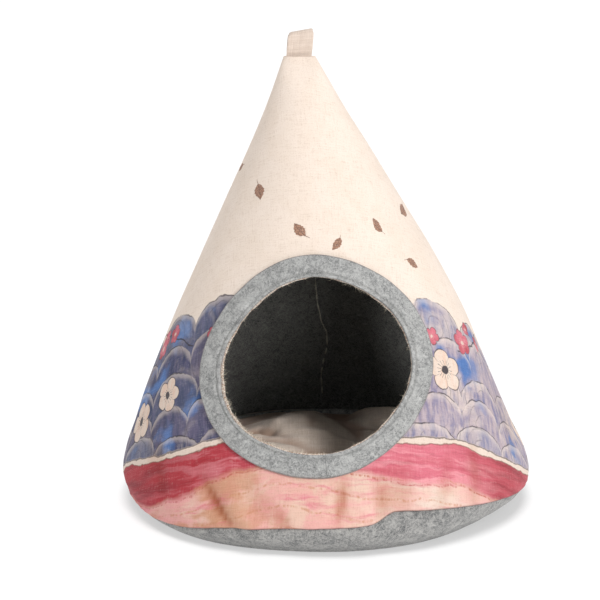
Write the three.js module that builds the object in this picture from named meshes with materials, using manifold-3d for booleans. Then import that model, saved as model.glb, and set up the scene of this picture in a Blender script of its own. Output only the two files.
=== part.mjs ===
// Cat teepee: a small cloth den. A tall cone of printed cloth over a felt lining stands on a
// shallow felt base. A flat felt ring binds the round entrance, a filled cushion lies inside,
// and a loop of the same cloth as the cover is sewn into the tip.
//
// Millimetres, +Z up. The origin is on the floor under the middle of the base. The entrance
// faces -Y. Angles go round from the front: 0 at -Y, 90 at +X, 180 at the back seam.

import * as THREE from 'three';
import { mergeVertices } from 'three/addons/utils/BufferGeometryUtils.js';
import Module from 'manifold-3d';

const wasm = await Module();
wasm.setup();

// Driving dimensions

const air = 0.3;           // between pieces that lie against each other
const ringAir = 0.5;       // under the ring, whose facets cross those of the cover
const coverThick = 1.2;    // slubbed plain weave
const liningThick = 3;     // felt
const baseThick = 4;       // felt
const ringThick = 3;       // felt
const tip = 444;           // height at which the cone is sewn shut

// The outside of the base and the cover, a row for each height: half the width, how far the
// wall reaches towards the front and the back, and how far the section leans towards +X.
const outline = [
  { height: 0, halfWidth: 178, front: 175, back: 178, lean: 0 },
  { height: 8, halfWidth: 190, front: 186, back: 190, lean: 1 },
  { height: 18, halfWidth: 199, front: 194, back: 198.5, lean: 2 },
  { height: 32, halfWidth: 204, front: 197.5, back: 203, lean: 2.5 },
  { height: 50, halfWidth: 201, front: 192, back: 200, lean: 3 },
  { height: 80, halfWidth: 188.5, front: 176, back: 187, lean: 2 },
  { height: 130, halfWidth: 168.5, front: 151, back: 167, lean: 0.5 },
  { height: 190, halfWidth: 145, front: 129, back: 144, lean: -1.5 },
  { height: 250, halfWidth: 115.5, front: 107, back: 115, lean: -4.5 },
  { height: 310, halfWidth: 83.5, front: 81, back: 83, lean: -9 },
  { height: 370, halfWidth: 51.5, front: 50.5, back: 51.5, lean: -14.5 },
  { height: 418, halfWidth: 27.5, front: 23, back: 24, lean: -19.5 },
  { height: 444, halfWidth: 15.4, front: 3.6, back: 3.6, lean: -22.5 },
];

// The stiff ring draws the front of the cone flat, and the tip is sewn flat round the loop's
// ends: the section there is squarer than an ellipse.
const roundPower = 2;
const flatFront = { power: 0.35, height: 165, reach: 90 };
const flatTip = { power: 2.5, height: tip, reach: 18 };

// Height of the seam between cover and base. The hem sags on the left and steps up right of
// the middle.
const hem = [
  { angle: -180, height: 30 },
  { angle: -125, height: 26 },
  { angle: -90, height: 17 },
  { angle: -58, height: 12 },
  { angle: -42, height: 16 },
  { angle: -28, height: 25 },
  { angle: -10, height: 30 },
  { angle: 12, height: 34 },
  { angle: 19, height: 43.5 },
  { angle: 32, height: 40.5 },
  { angle: 55, height: 31 },
  { angle: 75, height: 23 },
  { angle: 110, height: 26 },
  { angle: 180, height: 30 },
];

// Folds and bulges of the cloth: where each is strongest, how many degrees it turns in 100 mm
// of height, its half width in degrees, its reach up and down, and how far it stands out.
const folds = [
  { angle: -45, height: 6, turn: 0, width: 24, reach: 26, out: 7 },
  { angle: 52, height: 8, turn: 0, width: 16, reach: 18, out: -4 },
  { angle: 82, height: 26, turn: 0, width: 24, reach: 26, out: 3.4 },
  { angle: -19, height: 48, turn: -22, width: 4.5, reach: 20, out: -3.2 },
  { angle: -27, height: 52, turn: -22, width: 7, reach: 30, out: 2.6 },
  { angle: 9, height: 40, turn: 6, width: 7, reach: 22, out: 2.4 },
  { angle: 21, height: 58, turn: 10, width: 5, reach: 26, out: -2.4 },
  { angle: 78, height: 130, turn: 12, width: 9, reach: 70, out: -2 },
  { angle: -88, height: 118, turn: 0, width: 24, reach: 45, out: 2.6 },
  { angle: 126, height: 110, turn: -14, width: 11, reach: 90, out: -4 },
  { angle: -133, height: 130, turn: 12, width: 12, reach: 90, out: -4.5 },
  { angle: 158, height: 60, turn: 0, width: 9, reach: 40, out: 3 },
  { angle: -160, height: 60, turn: 0, width: 8, reach: 45, out: 2.5 },
];

// The lining's raised back seam stands inwards.
const backSeam = { height: 3.5, halfWidth: 10 };

// The entrance, measured in the plane that touches the front of the cone at its middle.
const entrance = { angle: -2.4, height: 168, halfWidth: 88, halfHeight: 82.5 };
const ringSide = 19.5;     // width of the ring at its sides
const ringEnd = 21.5;      // and at its top and bottom
const coverShows = 2;      // the cover's raw edge stands this far into the opening
const liningHides = 2;     // the lining ends this far behind the ring's inner edge

const cushionRadius = 186;
const cushionFloor = baseThick + air;
const cushionEquator = 28;

// The cushion's section from its underside to its crown, as shares of its radius.
const cushionSection = [
  { share: 0.4, height: cushionFloor },
  { share: 0.78, height: cushionFloor },
  { share: 0.91, height: 8.5 },
  { share: 0.98, height: 17 },
  { share: 1, height: cushionEquator },
  { share: 0.965, height: 36 },
  { share: 0.88, height: 43.5 },
  { share: 0.72, height: 50.5 },
  { share: 0.5, height: 55.5 },
  { share: 0.25, height: 58 },
];
const cushionCrown = 58.6;

// Mounds and hollows pressed into the cushion's top.
const dents = [
  { x: -25, y: 62, spread: 48, rise: 6 },
  { x: 16, y: 84, spread: 17, rise: -11 },
  { x: 82, y: 92, spread: 46, rise: 13 },
  { x: -92, y: 60, spread: 44, rise: -8 },
  { x: 20, y: -40, spread: 60, rise: -5 },
  { x: 0, y: 20, spread: 26, rise: 3 },
];
const puckers = { count: 18, depth: 2.2, reach: 12 };  // drawn in along the edge seam

const loopWidth = 24.5;
const loopThick = 1.3;
const loopPlace = { x: -23, lean: 0.08, slant: 0.17, twist: 0.06, turnsOver: 6 };

// The loop's middle line on its front half, from the end inside the tip to the top of its fold.
const loopPath = [
  { depth: 0.85, height: 431 },
  { depth: 0.85, height: 438 },
  { depth: 0.95, height: 445 },
  { depth: 3.4, height: 449.5 },
  { depth: 5.1, height: 455 },
  { depth: 5.2, height: 460.5 },
  { depth: 4.2, height: 465 },
  { depth: 2.3, height: 467.8 },
  { depth: 0, height: 468.6 },
];

// Faceting

const columns = 60;
const wallRows = 15;       // rows of facets up the cover
const liningRows = 14;     // the lining stops below the tip
const hemCrowding = 1.25;  // rows of the walls stand closer together near the hem
const ringColumns = 64;
const cushionColumns = 48;
const floorRings = [0.45, 0.8];
const sideRows = 4;
const cutterSegments = 40;
const probe = 1;           // step for slopes of the wall, in degrees and in mm

const radians = THREE.MathUtils.degToRad;

// Value of one column of a table between its rows: a cubic that never overshoots them.
function along(rows, key, at, column) {
  const last = rows.length - 1;
  const slope = (i) => (rows[i + 1][column] - rows[i][column]) / (rows[i + 1][key] - rows[i][key]);
  const tangent = (i) => {
    if (i === 0) return slope(0);
    if (i === last) return slope(last - 1);
    const product = slope(i - 1) * slope(i);
    return product > 0 ? 2 * product / (slope(i - 1) + slope(i)) : 0;
  };
  const place = THREE.MathUtils.clamp(at, rows[0][key], rows[last][key]);
  let i = 0;
  while (i < last - 1 && rows[i + 1][key] <= place) i += 1;
  const step = rows[i + 1][key] - rows[i][key];
  const t = (place - rows[i][key]) / step;
  return (1 + 2 * t) * (1 - t) ** 2 * rows[i][column]
    + t * (1 - t) ** 2 * step * tangent(i)
    + t * t * (3 - 2 * t) * rows[i + 1][column]
    + t * t * (t - 1) * step * tangent(i + 1);
}

const bell = (x) => Math.exp(-x * x);  // 1 at its middle, 0.37 at its half width
const turned = (degrees) => ((degrees + 540) % 360) - 180;
const hemHeight = (angle) => along(hem, 'angle', turned(angle), 'height');

// Distance of the outside from the section's middle, towards one side at one height.
function wallRadius(angle, height) {
  const side = Math.sin(radians(angle));
  const ahead = Math.cos(radians(angle));
  const halfWidth = along(outline, 'height', height, 'halfWidth');
  const depth = along(outline, 'height', height, ahead > 0 ? 'front' : 'back');
  const squarer = (flat) => flat.power * bell((height - flat.height) / flat.reach);
  const power = roundPower + squarer(flatTip) + (ahead > 0 ? squarer(flatFront) : 0);
  const section = (Math.abs(side / halfWidth) ** power + Math.abs(ahead / depth) ** power) ** (-1 / power);
  return folds.reduce((radius, fold) => {
    const rise = height - fold.height;
    const away = turned(angle - fold.angle - fold.turn * rise / 100);
    return radius + fold.out * bell(away / fold.width) * bell(rise / fold.reach);
  }, section);
}

const leanAt = (height) => along(outline, 'height', height, 'lean');

function wallPoint(angle, height) {
  const radius = wallRadius(angle, height);
  return new THREE.Vector3(
    leanAt(height) + radius * Math.sin(radians(angle)),
    -radius * Math.cos(radians(angle)),
    height,
  );
}

// The outward normal of the wall, from points close by.
function wallNormal(angle, height) {
  const around = wallPoint(angle + probe, height).sub(wallPoint(angle - probe, height));
  const low = THREE.MathUtils.clamp(height - probe, 0, tip - 2 * probe);
  const up = wallPoint(angle, low + 2 * probe).sub(wallPoint(angle, low));
  return around.cross(up).normalize();
}

const behindWall = (angle, height, inwards) => wallPoint(angle, height)
  .addScaledVector(wallNormal(angle, height), -inwards);

// One closed body from a grid of points. Each row is a closed line round the body. The rows
// either close on themselves too, or end in the two points given. From one row on the cells
// can be split along their other diagonal, so that layers with the same grid stay parallel.
function gridSolid(rows, ends, splitOther = rows.length) {
  const across = rows[0].length;
  const points = rows.flat().concat(ends || []);
  const index = [];
  const bands = ends ? rows.length - 1 : rows.length;
  for (let r = 0; r < bands; r += 1) {
    const here = r * across;
    const above = ((r + 1) % rows.length) * across;
    for (let c = 0; c < across; c += 1) {
      const next = (c + 1) % across;
      if (r < splitOther) index.push(here + c, here + next, above + next, here + c, above + next, above + c);
      else index.push(here + c, here + next, above + c, here + next, above + next, above + c);
    }
  }
  if (ends) {
    const first = rows.length * across;
    const top = (rows.length - 1) * across;
    for (let c = 0; c < across; c += 1) {
      const next = (c + 1) % across;
      index.push(first, next, c, first + 1, top + c, top + next);
    }
  }
  const geometry = new THREE.BufferGeometry().setFromPoints(points);
  geometry.setIndex(index);
  return geometry;
}

const angles = Array.from({ length: columns }, (_, c) => (360 * c) / columns);

// A layer of the cone between two depths behind the outside, from the hem up some rows.
function wallLayer(outer, inner, rows, inwards = () => 0) {
  const skin = (depth, bulge) => Array.from({ length: rows + 1 }, (_, r) => angles.map((angle) => {
    const bottom = hemHeight(angle);
    const height = bottom + (tip - bottom) * (r / wallRows) ** hemCrowding;
    const point = behindWall(angle, height, depth + bulge(angle, height));
    if (r === 0) point.z = bottom;
    return point;
  }));
  return gridSolid([...skin(outer, () => 0), ...skin(inner, inwards).reverse()], null, rows + 1);
}

function toSolid(geometry) {
  const plain = geometry.clone();
  plain.deleteAttribute('normal');
  plain.deleteAttribute('uv');
  const merged = mergeVertices(plain);
  return new wasm.Manifold(new wasm.Mesh({
    numProp: 3,
    vertProperties: new Float32Array(merged.attributes.position.array),
    triVerts: new Uint32Array(merged.index.array),
  }));
}

function toGeometry(solid) {
  const mesh = solid.getMesh();
  const geometry = new THREE.BufferGeometry();
  geometry.setAttribute('position', new THREE.BufferAttribute(mesh.vertProperties, 3));
  geometry.setIndex(new THREE.BufferAttribute(mesh.triVerts, 1));
  return geometry;
}

// The plane of the entrance: its middle, the way up the wall and the way out of it.
const doorMiddle = wallPoint(entrance.angle, entrance.height);
const doorRise = wallPoint(0, entrance.height + 1).sub(wallPoint(0, entrance.height - 1));
const doorUp = new THREE.Vector3(0, doorRise.y, doorRise.z).normalize();
const doorRight = new THREE.Vector3(1, 0, 0);
const doorOut = doorRight.clone().cross(doorUp);
const doorDeepest = 62;    // the wall lies at most this far behind the plane
const doorNearest = 14;    // and at most this far in front of it
const doorExact = 1e-6;

// The prism that cuts the entrance through a layer.
function doorCutter(grow) {
  const shape = new THREE.Shape();
  shape.absellipse(0, 0, entrance.halfWidth + grow, entrance.halfHeight + grow, 0, 2 * Math.PI);
  const geometry = new THREE.ExtrudeGeometry(shape, {
    depth: doorDeepest + doorNearest, bevelEnabled: false, curveSegments: cutterSegments,
  });
  geometry.translate(0, 0, -doorDeepest);
  geometry.applyMatrix4(new THREE.Matrix4().makeBasis(doorRight, doorUp, doorOut));
  geometry.translate(doorMiddle.x, doorMiddle.y, doorMiddle.z);
  return geometry;
}

const cutDoor = (layer, grow) => toGeometry(toSolid(layer).subtract(toSolid(doorCutter(grow))));

const coverGeometry = () => cutDoor(wallLayer(0, coverThick, wallRows), -coverShows);

function liningGeometry() {
  const outer = coverThick + air;
  const ridge = (angle, height) => {
    const across = radians(turned(angle - 180)) * wallRadius(180, height);
    return backSeam.height * bell(across / backSeam.halfWidth);
  };
  return cutDoor(wallLayer(outer, outer + liningThick, liningRows, ridge), liningHides);
}

// Where a line from the entrance's plane straight into the cone meets the wall.
function onDoorWall(right, up) {
  const start = doorMiddle.clone().addScaledVector(doorRight, right).addScaledVector(doorUp, up);
  const at = (inwards) => start.clone().addScaledVector(doorOut, -inwards);
  const angleOf = (p) => THREE.MathUtils.radToDeg(Math.atan2(p.x - leanAt(p.z), -p.y));
  let near = -doorNearest;
  let far = doorDeepest;
  while (far - near > doorExact) {
    const middle = (near + far) / 2;
    const p = at(middle);
    const outside = Math.hypot(p.x - leanAt(p.z), p.y) > wallRadius(angleOf(p), p.z);
    if (outside) near = middle;
    else far = middle;
  }
  const point = at(near);
  return { point, normal: wallNormal(angleOf(point), point.z) };
}

// The ring lies on the cover: its section is a low rectangle with eased outer corners.
function ringGeometry() {
  const ease = 0.8;
  const section = [
    { share: 0, stand: 0 },
    { share: 0.5, stand: 0 },
    { share: 1, stand: 0 },
    { share: 1, stand: ringThick - ease },
    { share: 0.96, stand: ringThick },
    { share: 0.5, stand: ringThick },
    { share: 0.04, stand: ringThick },
    { share: 0, stand: ringThick - ease },
  ];
  const rows = section.map(({ share, stand }) => Array.from({ length: ringColumns }, (_, c) => {
    const turn = (2 * Math.PI * c) / ringColumns;
    const right = (entrance.halfWidth + ringSide * share) * Math.cos(turn);
    const up = (entrance.halfHeight + ringEnd * share) * Math.sin(turn);
    const { point, normal } = onDoorWall(right, up);
    return point.addScaledVector(normal, ringAir + stand);
  }));
  return gridSolid(rows);
}

// A dish: flat under its middle, turned up at its rim to meet the cover and lining at the hem.
function baseGeometry() {
  const rim = coverThick + air + liningThick;
  const rimTop = (angle) => hemHeight(angle) - air;
  const insideEdge = 2 * baseThick;
  const flatRow = (share, height, shrink) => angles.map((angle) => {
    const radius = (wallRadius(angle, 0) - shrink) * share;
    return new THREE.Vector3(radius * Math.sin(radians(angle)), -radius * Math.cos(radians(angle)), height);
  });
  const outside = Array.from({ length: sideRows + 1 }, (_, r) => angles.map((angle) => (
    wallPoint(angle, rimTop(angle) * (r / sideRows) ** hemCrowding))));
  const inside = Array.from({ length: sideRows }, (_, r) => angles.map((angle) => {
    const height = THREE.MathUtils.lerp(rimTop(angle), baseThick, r / sideRows);
    const p = behindWall(angle, height, rim);
    p.z = height;
    return p;
  }));
  const rows = [
    ...floorRings.map((share) => flatRow(share, 0, 0)),
    ...outside,
    ...inside,
    flatRow(1, baseThick, insideEdge),
    ...floorRings.slice().reverse().map((share) => flatRow(share, baseThick, insideEdge)),
  ];
  return gridSolid(rows, [new THREE.Vector3(0, 0, 0), new THREE.Vector3(0, 0, baseThick)]);
}

function cushionTop(x, y, height) {
  const share = THREE.MathUtils.clamp((height - cushionEquator) / (cushionCrown - cushionEquator), 0, 1);
  const pressed = dents.reduce((sum, dent) => (
    sum + dent.rise * bell(Math.hypot(x - dent.x, y - dent.y) / dent.spread)), 0);
  return height + pressed * share;
}

function cushionGeometry() {
  const rows = cushionSection.map(({ share, height }) => Array.from({ length: cushionColumns }, (_, c) => {
    const turn = (2 * Math.PI * c) / cushionColumns;
    const drawn = bell((height - cushionEquator) / puckers.reach) * (1 + Math.cos(puckers.count * turn)) / 2;
    const radius = cushionRadius * share - puckers.depth * drawn;
    const x = radius * Math.sin(turn);
    const y = -radius * Math.cos(turn);
    return new THREE.Vector3(x, y, cushionTop(x, y, height));
  }));
  return gridSolid(rows, [
    new THREE.Vector3(0, 0, cushionFloor),
    new THREE.Vector3(0, 0, cushionTop(0, 0, cushionCrown)),
  ]);
}

// A strip folded over on itself, its two ends sewn into the tip.
function loopGeometry() {
  const front = loopPath.map(({ depth, height }) => new THREE.Vector2(-depth, height));
  const back = loopPath.slice(0, -1).reverse().map(({ depth, height }) => new THREE.Vector2(depth, height));
  const path = [...front, ...back];
  const fold = loopPath.at(-1).height;
  const place = (across, p) => {
    const rise = Math.max(p.y - tip, 0);
    const twist = loopPlace.twist * Math.min(rise / loopPlace.turnsOver, 1);
    return new THREE.Vector3(
      loopPlace.x + across + loopPlace.lean * rise - twist * p.x,
      p.x + twist * across,
      p.y + loopPlace.slant * across * rise / (fold - tip),
    );
  };
  const rows = path.map((p, k) => {
    const before = path[Math.max(k - 1, 0)];
    const after = path[Math.min(k + 1, path.length - 1)];
    const side = after.clone().sub(before).normalize();
    const out = new THREE.Vector2(-side.y, side.x).multiplyScalar(loopThick / 2);
    const outer = p.clone().add(out);
    const inner = p.clone().sub(out);
    const half = loopWidth / 2;
    return [place(-half, outer), place(half, outer), place(half, inner), place(-half, inner)];
  });
  const middle = (row) => row.reduce((sum, p) => sum.add(p), new THREE.Vector3()).divideScalar(row.length);
  return gridSolid(rows, [middle(rows[0]), middle(rows.at(-1))]);
}

// Each piece with the look of its cloth.
function piece(name, geometry, color, roughness) {
  const solid = geometry.toNonIndexed();
  solid.computeVertexNormals();
  const mesh = new THREE.Mesh(solid, new THREE.MeshStandardMaterial({ color, roughness, metalness: 0 }));
  mesh.name = name;
  return mesh;
}

const teepee = new THREE.Group();
teepee.add(
  piece('base', baseGeometry(), 0x8f9191, 0.95),
  piece('lining', liningGeometry(), 0x3b3a38, 0.97),
  piece('cover', coverGeometry(), 0xe9decd, 0.9),
  piece('entrance_ring', ringGeometry(), 0xa5a6a4, 0.95),
  piece('cushion', cushionGeometry(), 0x9c917f, 0.93),
  piece('hanging_loop', loopGeometry(), 0xe6dac9, 0.9),
);

export default teepee;
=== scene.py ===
# Cat teepee: the looks of a printed cloth cone with a felt ring, base and lining,
# a filled cushion and a hanging loop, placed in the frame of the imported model.
import math
import bpy
import numpy as np
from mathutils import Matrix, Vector


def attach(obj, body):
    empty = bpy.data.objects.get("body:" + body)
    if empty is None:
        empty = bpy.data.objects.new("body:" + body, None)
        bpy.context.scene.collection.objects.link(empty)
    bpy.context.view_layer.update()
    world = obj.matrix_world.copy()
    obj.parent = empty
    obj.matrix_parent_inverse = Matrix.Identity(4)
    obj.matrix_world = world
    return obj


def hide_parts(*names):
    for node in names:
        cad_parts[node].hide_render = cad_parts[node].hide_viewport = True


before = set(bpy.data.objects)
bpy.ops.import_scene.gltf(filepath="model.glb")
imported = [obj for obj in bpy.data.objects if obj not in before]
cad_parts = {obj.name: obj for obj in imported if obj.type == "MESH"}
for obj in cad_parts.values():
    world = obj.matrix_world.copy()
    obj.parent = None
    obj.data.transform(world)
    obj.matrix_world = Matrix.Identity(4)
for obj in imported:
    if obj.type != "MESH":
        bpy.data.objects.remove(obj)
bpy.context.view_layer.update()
print("frame: loaded", len(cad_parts), "solids")

mm = 0.001  # every size below is in millimetres, and becomes metres in newPiece
sharpFrom = 50  # edges that turn by more degrees than this stay sharp


# Small tools for numbers and meshes

def bell(x):
    return np.exp(-x * x)  # 1 at its middle, 0.37 at its half width


def turned(degrees):
    return (degrees + 540) % 360 - 180


def softStep(low, high, x):
    t = np.clip((x - low) / (high - low), 0, 1)
    return t * t * (3 - 2 * t)


def alongRows(places, values, at):
    # a cubic between the rows of a table that never overshoots them: each row's slope is the
    # harmonic mean of the slopes beside it, and nothing where they change sign
    at = np.clip(np.asarray(at, float), places[0], places[-1])
    slopes = np.diff(values) / np.diff(places)
    product = slopes[:-1] * slopes[1:]
    both = slopes[:-1] + slopes[1:]
    inner = np.where(product > 0, 2 * product / np.where(both == 0, 1, both), 0)
    tangents = np.concatenate([slopes[:1], inner, slopes[-1:]])
    i = np.clip(np.searchsorted(places, at, side="right") - 1, 0, len(places) - 2)
    step = places[i + 1] - places[i]
    t = (at - places[i]) / step
    return ((1 + 2 * t) * (1 - t) ** 2 * values[i] + t * (1 - t) ** 2 * step * tangents[i]
            + t * t * (3 - 2 * t) * values[i + 1] + t * t * (t - 1) * step * tangents[i + 1])


def table(columns, *rows):
    # a short table with named columns, as one array for each column
    return dict(zip(columns.split(), np.array(rows, float).T))


def ripples(points, length, seed, waves=14):
    # soft noise from -1 to 1: plane waves of about one length in seeded directions
    draw = np.random.default_rng(seed)
    directions = draw.normal(size=(waves, points.shape[-1]))
    directions /= np.linalg.norm(directions, axis=1, keepdims=True)
    turnsEach = 2 * np.pi / (length * draw.uniform(0.7, 1.6, waves))
    phases = draw.uniform(0, 2 * np.pi, waves)
    angles = points @ directions.T * turnsEach + phases
    return np.sin(angles).sum(axis=-1) / math.sqrt(2 * waves)


def unit(vectors):
    return vectors / np.maximum(np.linalg.norm(vectors, axis=-1, keepdims=True), 1e-9)


def swings(x, rows):
    # waves added up, each with its size, its pace and its shift
    return sum(size * np.sin(pace * x + shift) for size, pace, shift in rows)


def placed(name, data):
    made = bpy.data.objects.new(name, data)
    bpy.context.collection.objects.link(made)
    return made


def newPiece(name, points, polygons, uv=None):
    # a mesh object at the origin, from points in mm and lists of point numbers
    mesh = bpy.data.meshes.new(name)
    mesh.from_pydata((np.asarray(points) * mm).tolist(), [], polygons)
    if uv is not None:
        layer = mesh.uv_layers.new(name="clothPanel")
        layer.data.foreach_set("uv", (uv * mm).astype(np.float32).ravel())
    mesh.polygons.foreach_set("use_smooth", np.ones(len(mesh.polygons), bool))
    mesh.set_sharp_from_angle(angle=math.radians(sharpFrom))
    mesh.update()
    return placed(name, mesh)


def meshPoints(mesh):
    points = np.empty(len(mesh.vertices) * 3, np.float32)
    mesh.vertices.foreach_get("co", points)
    return points.reshape(-1, 3) / mm


def setPoints(mesh, points):
    mesh.vertices.foreach_set("co", (points * mm).astype(np.float32).ravel())
    mesh.update()


def addAttribute(piece, name, values):
    # one number for each point, for the materials to read
    attribute = piece.data.attributes.new(name, "FLOAT", "POINT")
    attribute.data.foreach_set("value", np.ascontiguousarray(values, np.float32))


def gridQuads(rows, columns, closeRows=False):
    # the cells of a grid whose columns go round, as point numbers, then their corners' rows and
    # columns; the last column's right corners have the number of columns, so that a cloth
    # panel's map can end there
    r, c = np.meshgrid(np.arange(rows if closeRows else rows - 1), np.arange(columns), indexing="ij")
    r, c = r.ravel(), c.ravel()
    above = (r + 1) % rows
    r, c = np.stack([r, r, above, above], axis=1), np.stack([c, c + 1, c + 1, c], axis=1)
    return r * columns + c % columns, r, c


def roundBody(name, grid, poles=None, panel=None):
    # one closed body: rows of points that go round, closed on themselves or ended in two poles
    rows, columns = grid.shape[:2]
    quads, r, c = gridQuads(rows, columns, closeRows=poles is None)
    points = grid.reshape(-1, 3)
    polygons = quads.tolist()
    uv = None if panel is None else panel[r, c].reshape(-1, 2)
    if poles is not None:
        points = np.concatenate([points, poles])
        here = np.arange(columns)
        after = (here + 1) % columns
        top = (rows - 1) * columns
        polygons += np.stack([0 * here + rows * columns, after, here], axis=1).tolist()
        polygons += np.stack([0 * here + rows * columns + 1, top + here, top + after], axis=1).tolist()
        if panel is not None:
            uv = np.concatenate([uv, np.repeat(panel[[0, -1], 0], columns * 3, axis=0)])
    return newPiece(name, points, polygons, uv)


def cellEdges(faceLists):
    return np.concatenate([np.stack([f, np.roll(f, -1, axis=1)], -1).reshape(-1, 2) for f in faceLists])


def closedSheet(name, outer, inner, faceLists, uvLists, panel):
    # two skins with the same cells, joined along every open edge; the polygons and their corners
    # on the map are listed in the same order
    count = len(outer)
    polygons, corners = [], []
    for faces, uvFaces in zip(faceLists, uvLists):
        polygons += faces.tolist() + (faces[:, ::-1] + count).tolist()
        corners += [uvFaces.ravel(), uvFaces[:, ::-1].ravel()]
    edges = cellEdges(faceLists)
    alone = ~np.isin(edges[:, 0] * count + edges[:, 1], edges[:, 1] * count + edges[:, 0])
    a, b = edges[alone].T
    ua, ub = cellEdges(uvLists)[alone].T
    polygons += np.stack([b, a, a + count, b + count], axis=1).tolist()
    corners.append(np.stack([ub, ua, ua, ub], axis=1).ravel())
    return newPiece(name, np.concatenate([outer, inner]), polygons, panel[np.concatenate(corners)])


# The cone: the same outline, hem and folds as the solids

cone = {
    "outline": table("height halfWidth front back lean",
                     (0, 178, 175, 178, 0), (8, 190, 186, 190, 1), (18, 199, 194, 198.5, 2),
                     (32, 204, 197.5, 203, 2.5), (50, 201, 192, 200, 3), (80, 188.5, 176, 187, 2),
                     (130, 168.5, 151, 167, 0.5), (190, 145, 129, 144, -1.5),
                     (250, 115.5, 107, 115, -4.5), (310, 83.5, 81, 83, -9),
                     (370, 51.5, 50.5, 51.5, -14.5), (418, 27.5, 23, 24, -19.5),
                     (444, 15.4, 3.6, 3.6, -22.5)),
    "hem": table("angle height",
                 (-180, 30), (-125, 26), (-90, 17), (-58, 12), (-42, 16), (-28, 25), (-10, 30),
                 (12, 34), (19, 43.5), (32, 40.5), (55, 31), (75, 23), (110, 26), (180, 30)),
    "folds": table("angle height turn width reach out",
                   (-45, 6, 0, 24, 26, 7), (52, 8, 0, 16, 18, -4), (82, 26, 0, 24, 26, 3.4),
                   (-19, 48, -22, 4.5, 20, -3.2), (-27, 52, -22, 7, 30, 2.6),
                   (9, 40, 6, 7, 22, 2.4), (21, 58, 10, 5, 26, -2.4), (78, 130, 12, 9, 70, -2),
                   (-88, 118, 0, 24, 45, 2.6), (126, 110, -14, 11, 90, -4),
                   (-133, 130, 12, 12, 90, -4.5), (158, 60, 0, 9, 40, 3), (-160, 60, 0, 8, 45, 2.5)),
    "creases": table("angle height turn width reach out",  # finer ones, in the cloth alone
                     (-33, 66, -30, 2.6, 26, -0.9), (-12, 60, -14, 3, 18, 0.7),
                     (30, 70, 14, 3, 30, 0.9), (35, 60, 16, 2.2, 24, -0.8),
                     (56, 90, 18, 3.4, 40, 0.8), (-62, 80, -16, 3.2, 34, -0.8),
                     (-30.5, 43, -28, 2.3, 21, -3.2), (-25.5, 43, -28, 2.4, 19, 1.8),
                     (-38, 52, -26, 2.2, 16, 1.2), (4, 52, 5, 1.8, 20, -2.2), (-3, 44, 8, 2.2, 16, 1),
                     (-12, 38, -12, 2, 12, -1.2), (47, 62, 12, 2.6, 30, -1.2), (66, 70, 10, 3, 36, 1.1),
                     (-52, 50, -18, 2.6, 26, -1.3), (-78, 60, -10, 3.2, 36, 1.2),
                     (15, 54, 4, 2.6, 20, -1.5)),
    "tip": 444,
    "flatTip": {"power": 2.5, "height": 444, "reach": 18},
    "flatFront": {"power": 0.35, "height": 165, "reach": 90},
    "waves": 0.55,        # soft unevenness of the wall
    "waveLength": 70,
    "apexAbove": 33,      # from the tip to where the flat panel's two edges would meet
    "slantSteps": 1200,
    "stiffTo": 1.24,      # share of the entrance's size up to which the ring holds the wall stiff
    "looseFrom": 1.7,
}


def foldsAt(folds, angle, height):
    rise = height[..., None] - folds["height"]
    away = turned(angle[..., None] - folds["angle"] - folds["turn"] * rise / 100)
    return (folds["out"] * bell(away / folds["width"]) * bell(rise / folds["reach"])).sum(axis=-1)


def hemHeight(angle):
    return alongRows(cone["hem"]["angle"], cone["hem"]["height"], turned(angle))


def leanAt(height):
    return alongRows(cone["outline"]["height"], cone["outline"]["lean"], height)


def plainRadius(angle, height):
    # radius of a section that is an ellipse, squarer at the flat front and at the sewn tip
    rows = cone["outline"]
    side, ahead = np.sin(np.radians(angle)), np.cos(np.radians(angle))
    halfWidth = alongRows(rows["height"], rows["halfWidth"], height)
    front = alongRows(rows["height"], rows["front"], height)
    back = alongRows(rows["height"], rows["back"], height)
    squarer = [cone[n]["power"] * bell((height - cone[n]["height"]) / cone[n]["reach"])
               for n in ("flatTip", "flatFront")]
    power = 2 + squarer[0] + np.where(ahead > 0, squarer[1], 0)
    depth = np.where(ahead > 0, front, back)
    return (np.abs(side / halfWidth) ** power + np.abs(ahead / depth) ** power) ** (-1 / power)


def stiffRadius(angle, height):
    return plainRadius(angle, height) + foldsAt(cone["folds"], angle, height)


def toPoint(angle, height, radius):
    turn = np.radians(angle)
    return np.stack([leanAt(height) + radius * np.sin(turn), -radius * np.cos(turn), height + 0 * turn], -1)


# The plane of the entrance: its middle, right, up and out
entrance = {
    "angle": -2.4, "height": 168, "halfWidth": 88, "halfHeight": 82.5,
    "deepest": 62, "nearest": 14,   # how far in and out of its plane the wall may be
    "halvings": 32, "farOff": 9,
    # how far the sewn cloth pulls the edge out or in, by the turn round it from the right side up
    "pulled": table("turn grow",
                    (-180, 2), (-165, 3.6), (-150, 4.6), (-140, 4.3), (-128, 2.8), (-113, 0.8), (-97, 0),
                    (-80, -0.5), (-60, -2.2), (-44, -3.2), (-30, -2.8), (-12, -0.4), (4, 1.5), (20, 2.1),
                    (36, 2.3), (50, 1.3), (64, 0.8), (78, 1.7), (92, 2.4), (106, 1.3), (122, -1.2),
                    (136, -3), (150, -3.2), (164, -1), (180, 2)),
}


def stiffPoint(angle, height):
    angle, height = np.asarray(angle, float), np.asarray(height, float)
    return toPoint(angle, height, stiffRadius(angle, height))


def pulledEdge(turn):
    rows = entrance["pulled"]
    return alongRows(rows["turn"], rows["grow"], turned(np.degrees(turn)))


doorMiddle = stiffPoint(entrance["angle"], entrance["height"])
doorUp = unit((stiffPoint(0, entrance["height"] + 1) - stiffPoint(0, entrance["height"] - 1)) * [0, 1, 1])
doorRight = np.array([1.0, 0, 0])
doorOut = np.cross(doorRight, doorUp)


def doorPlace(points):
    # how far right and up of the entrance's middle points are, in its plane
    away = points - doorMiddle
    return away @ doorRight, away @ doorUp


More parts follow.
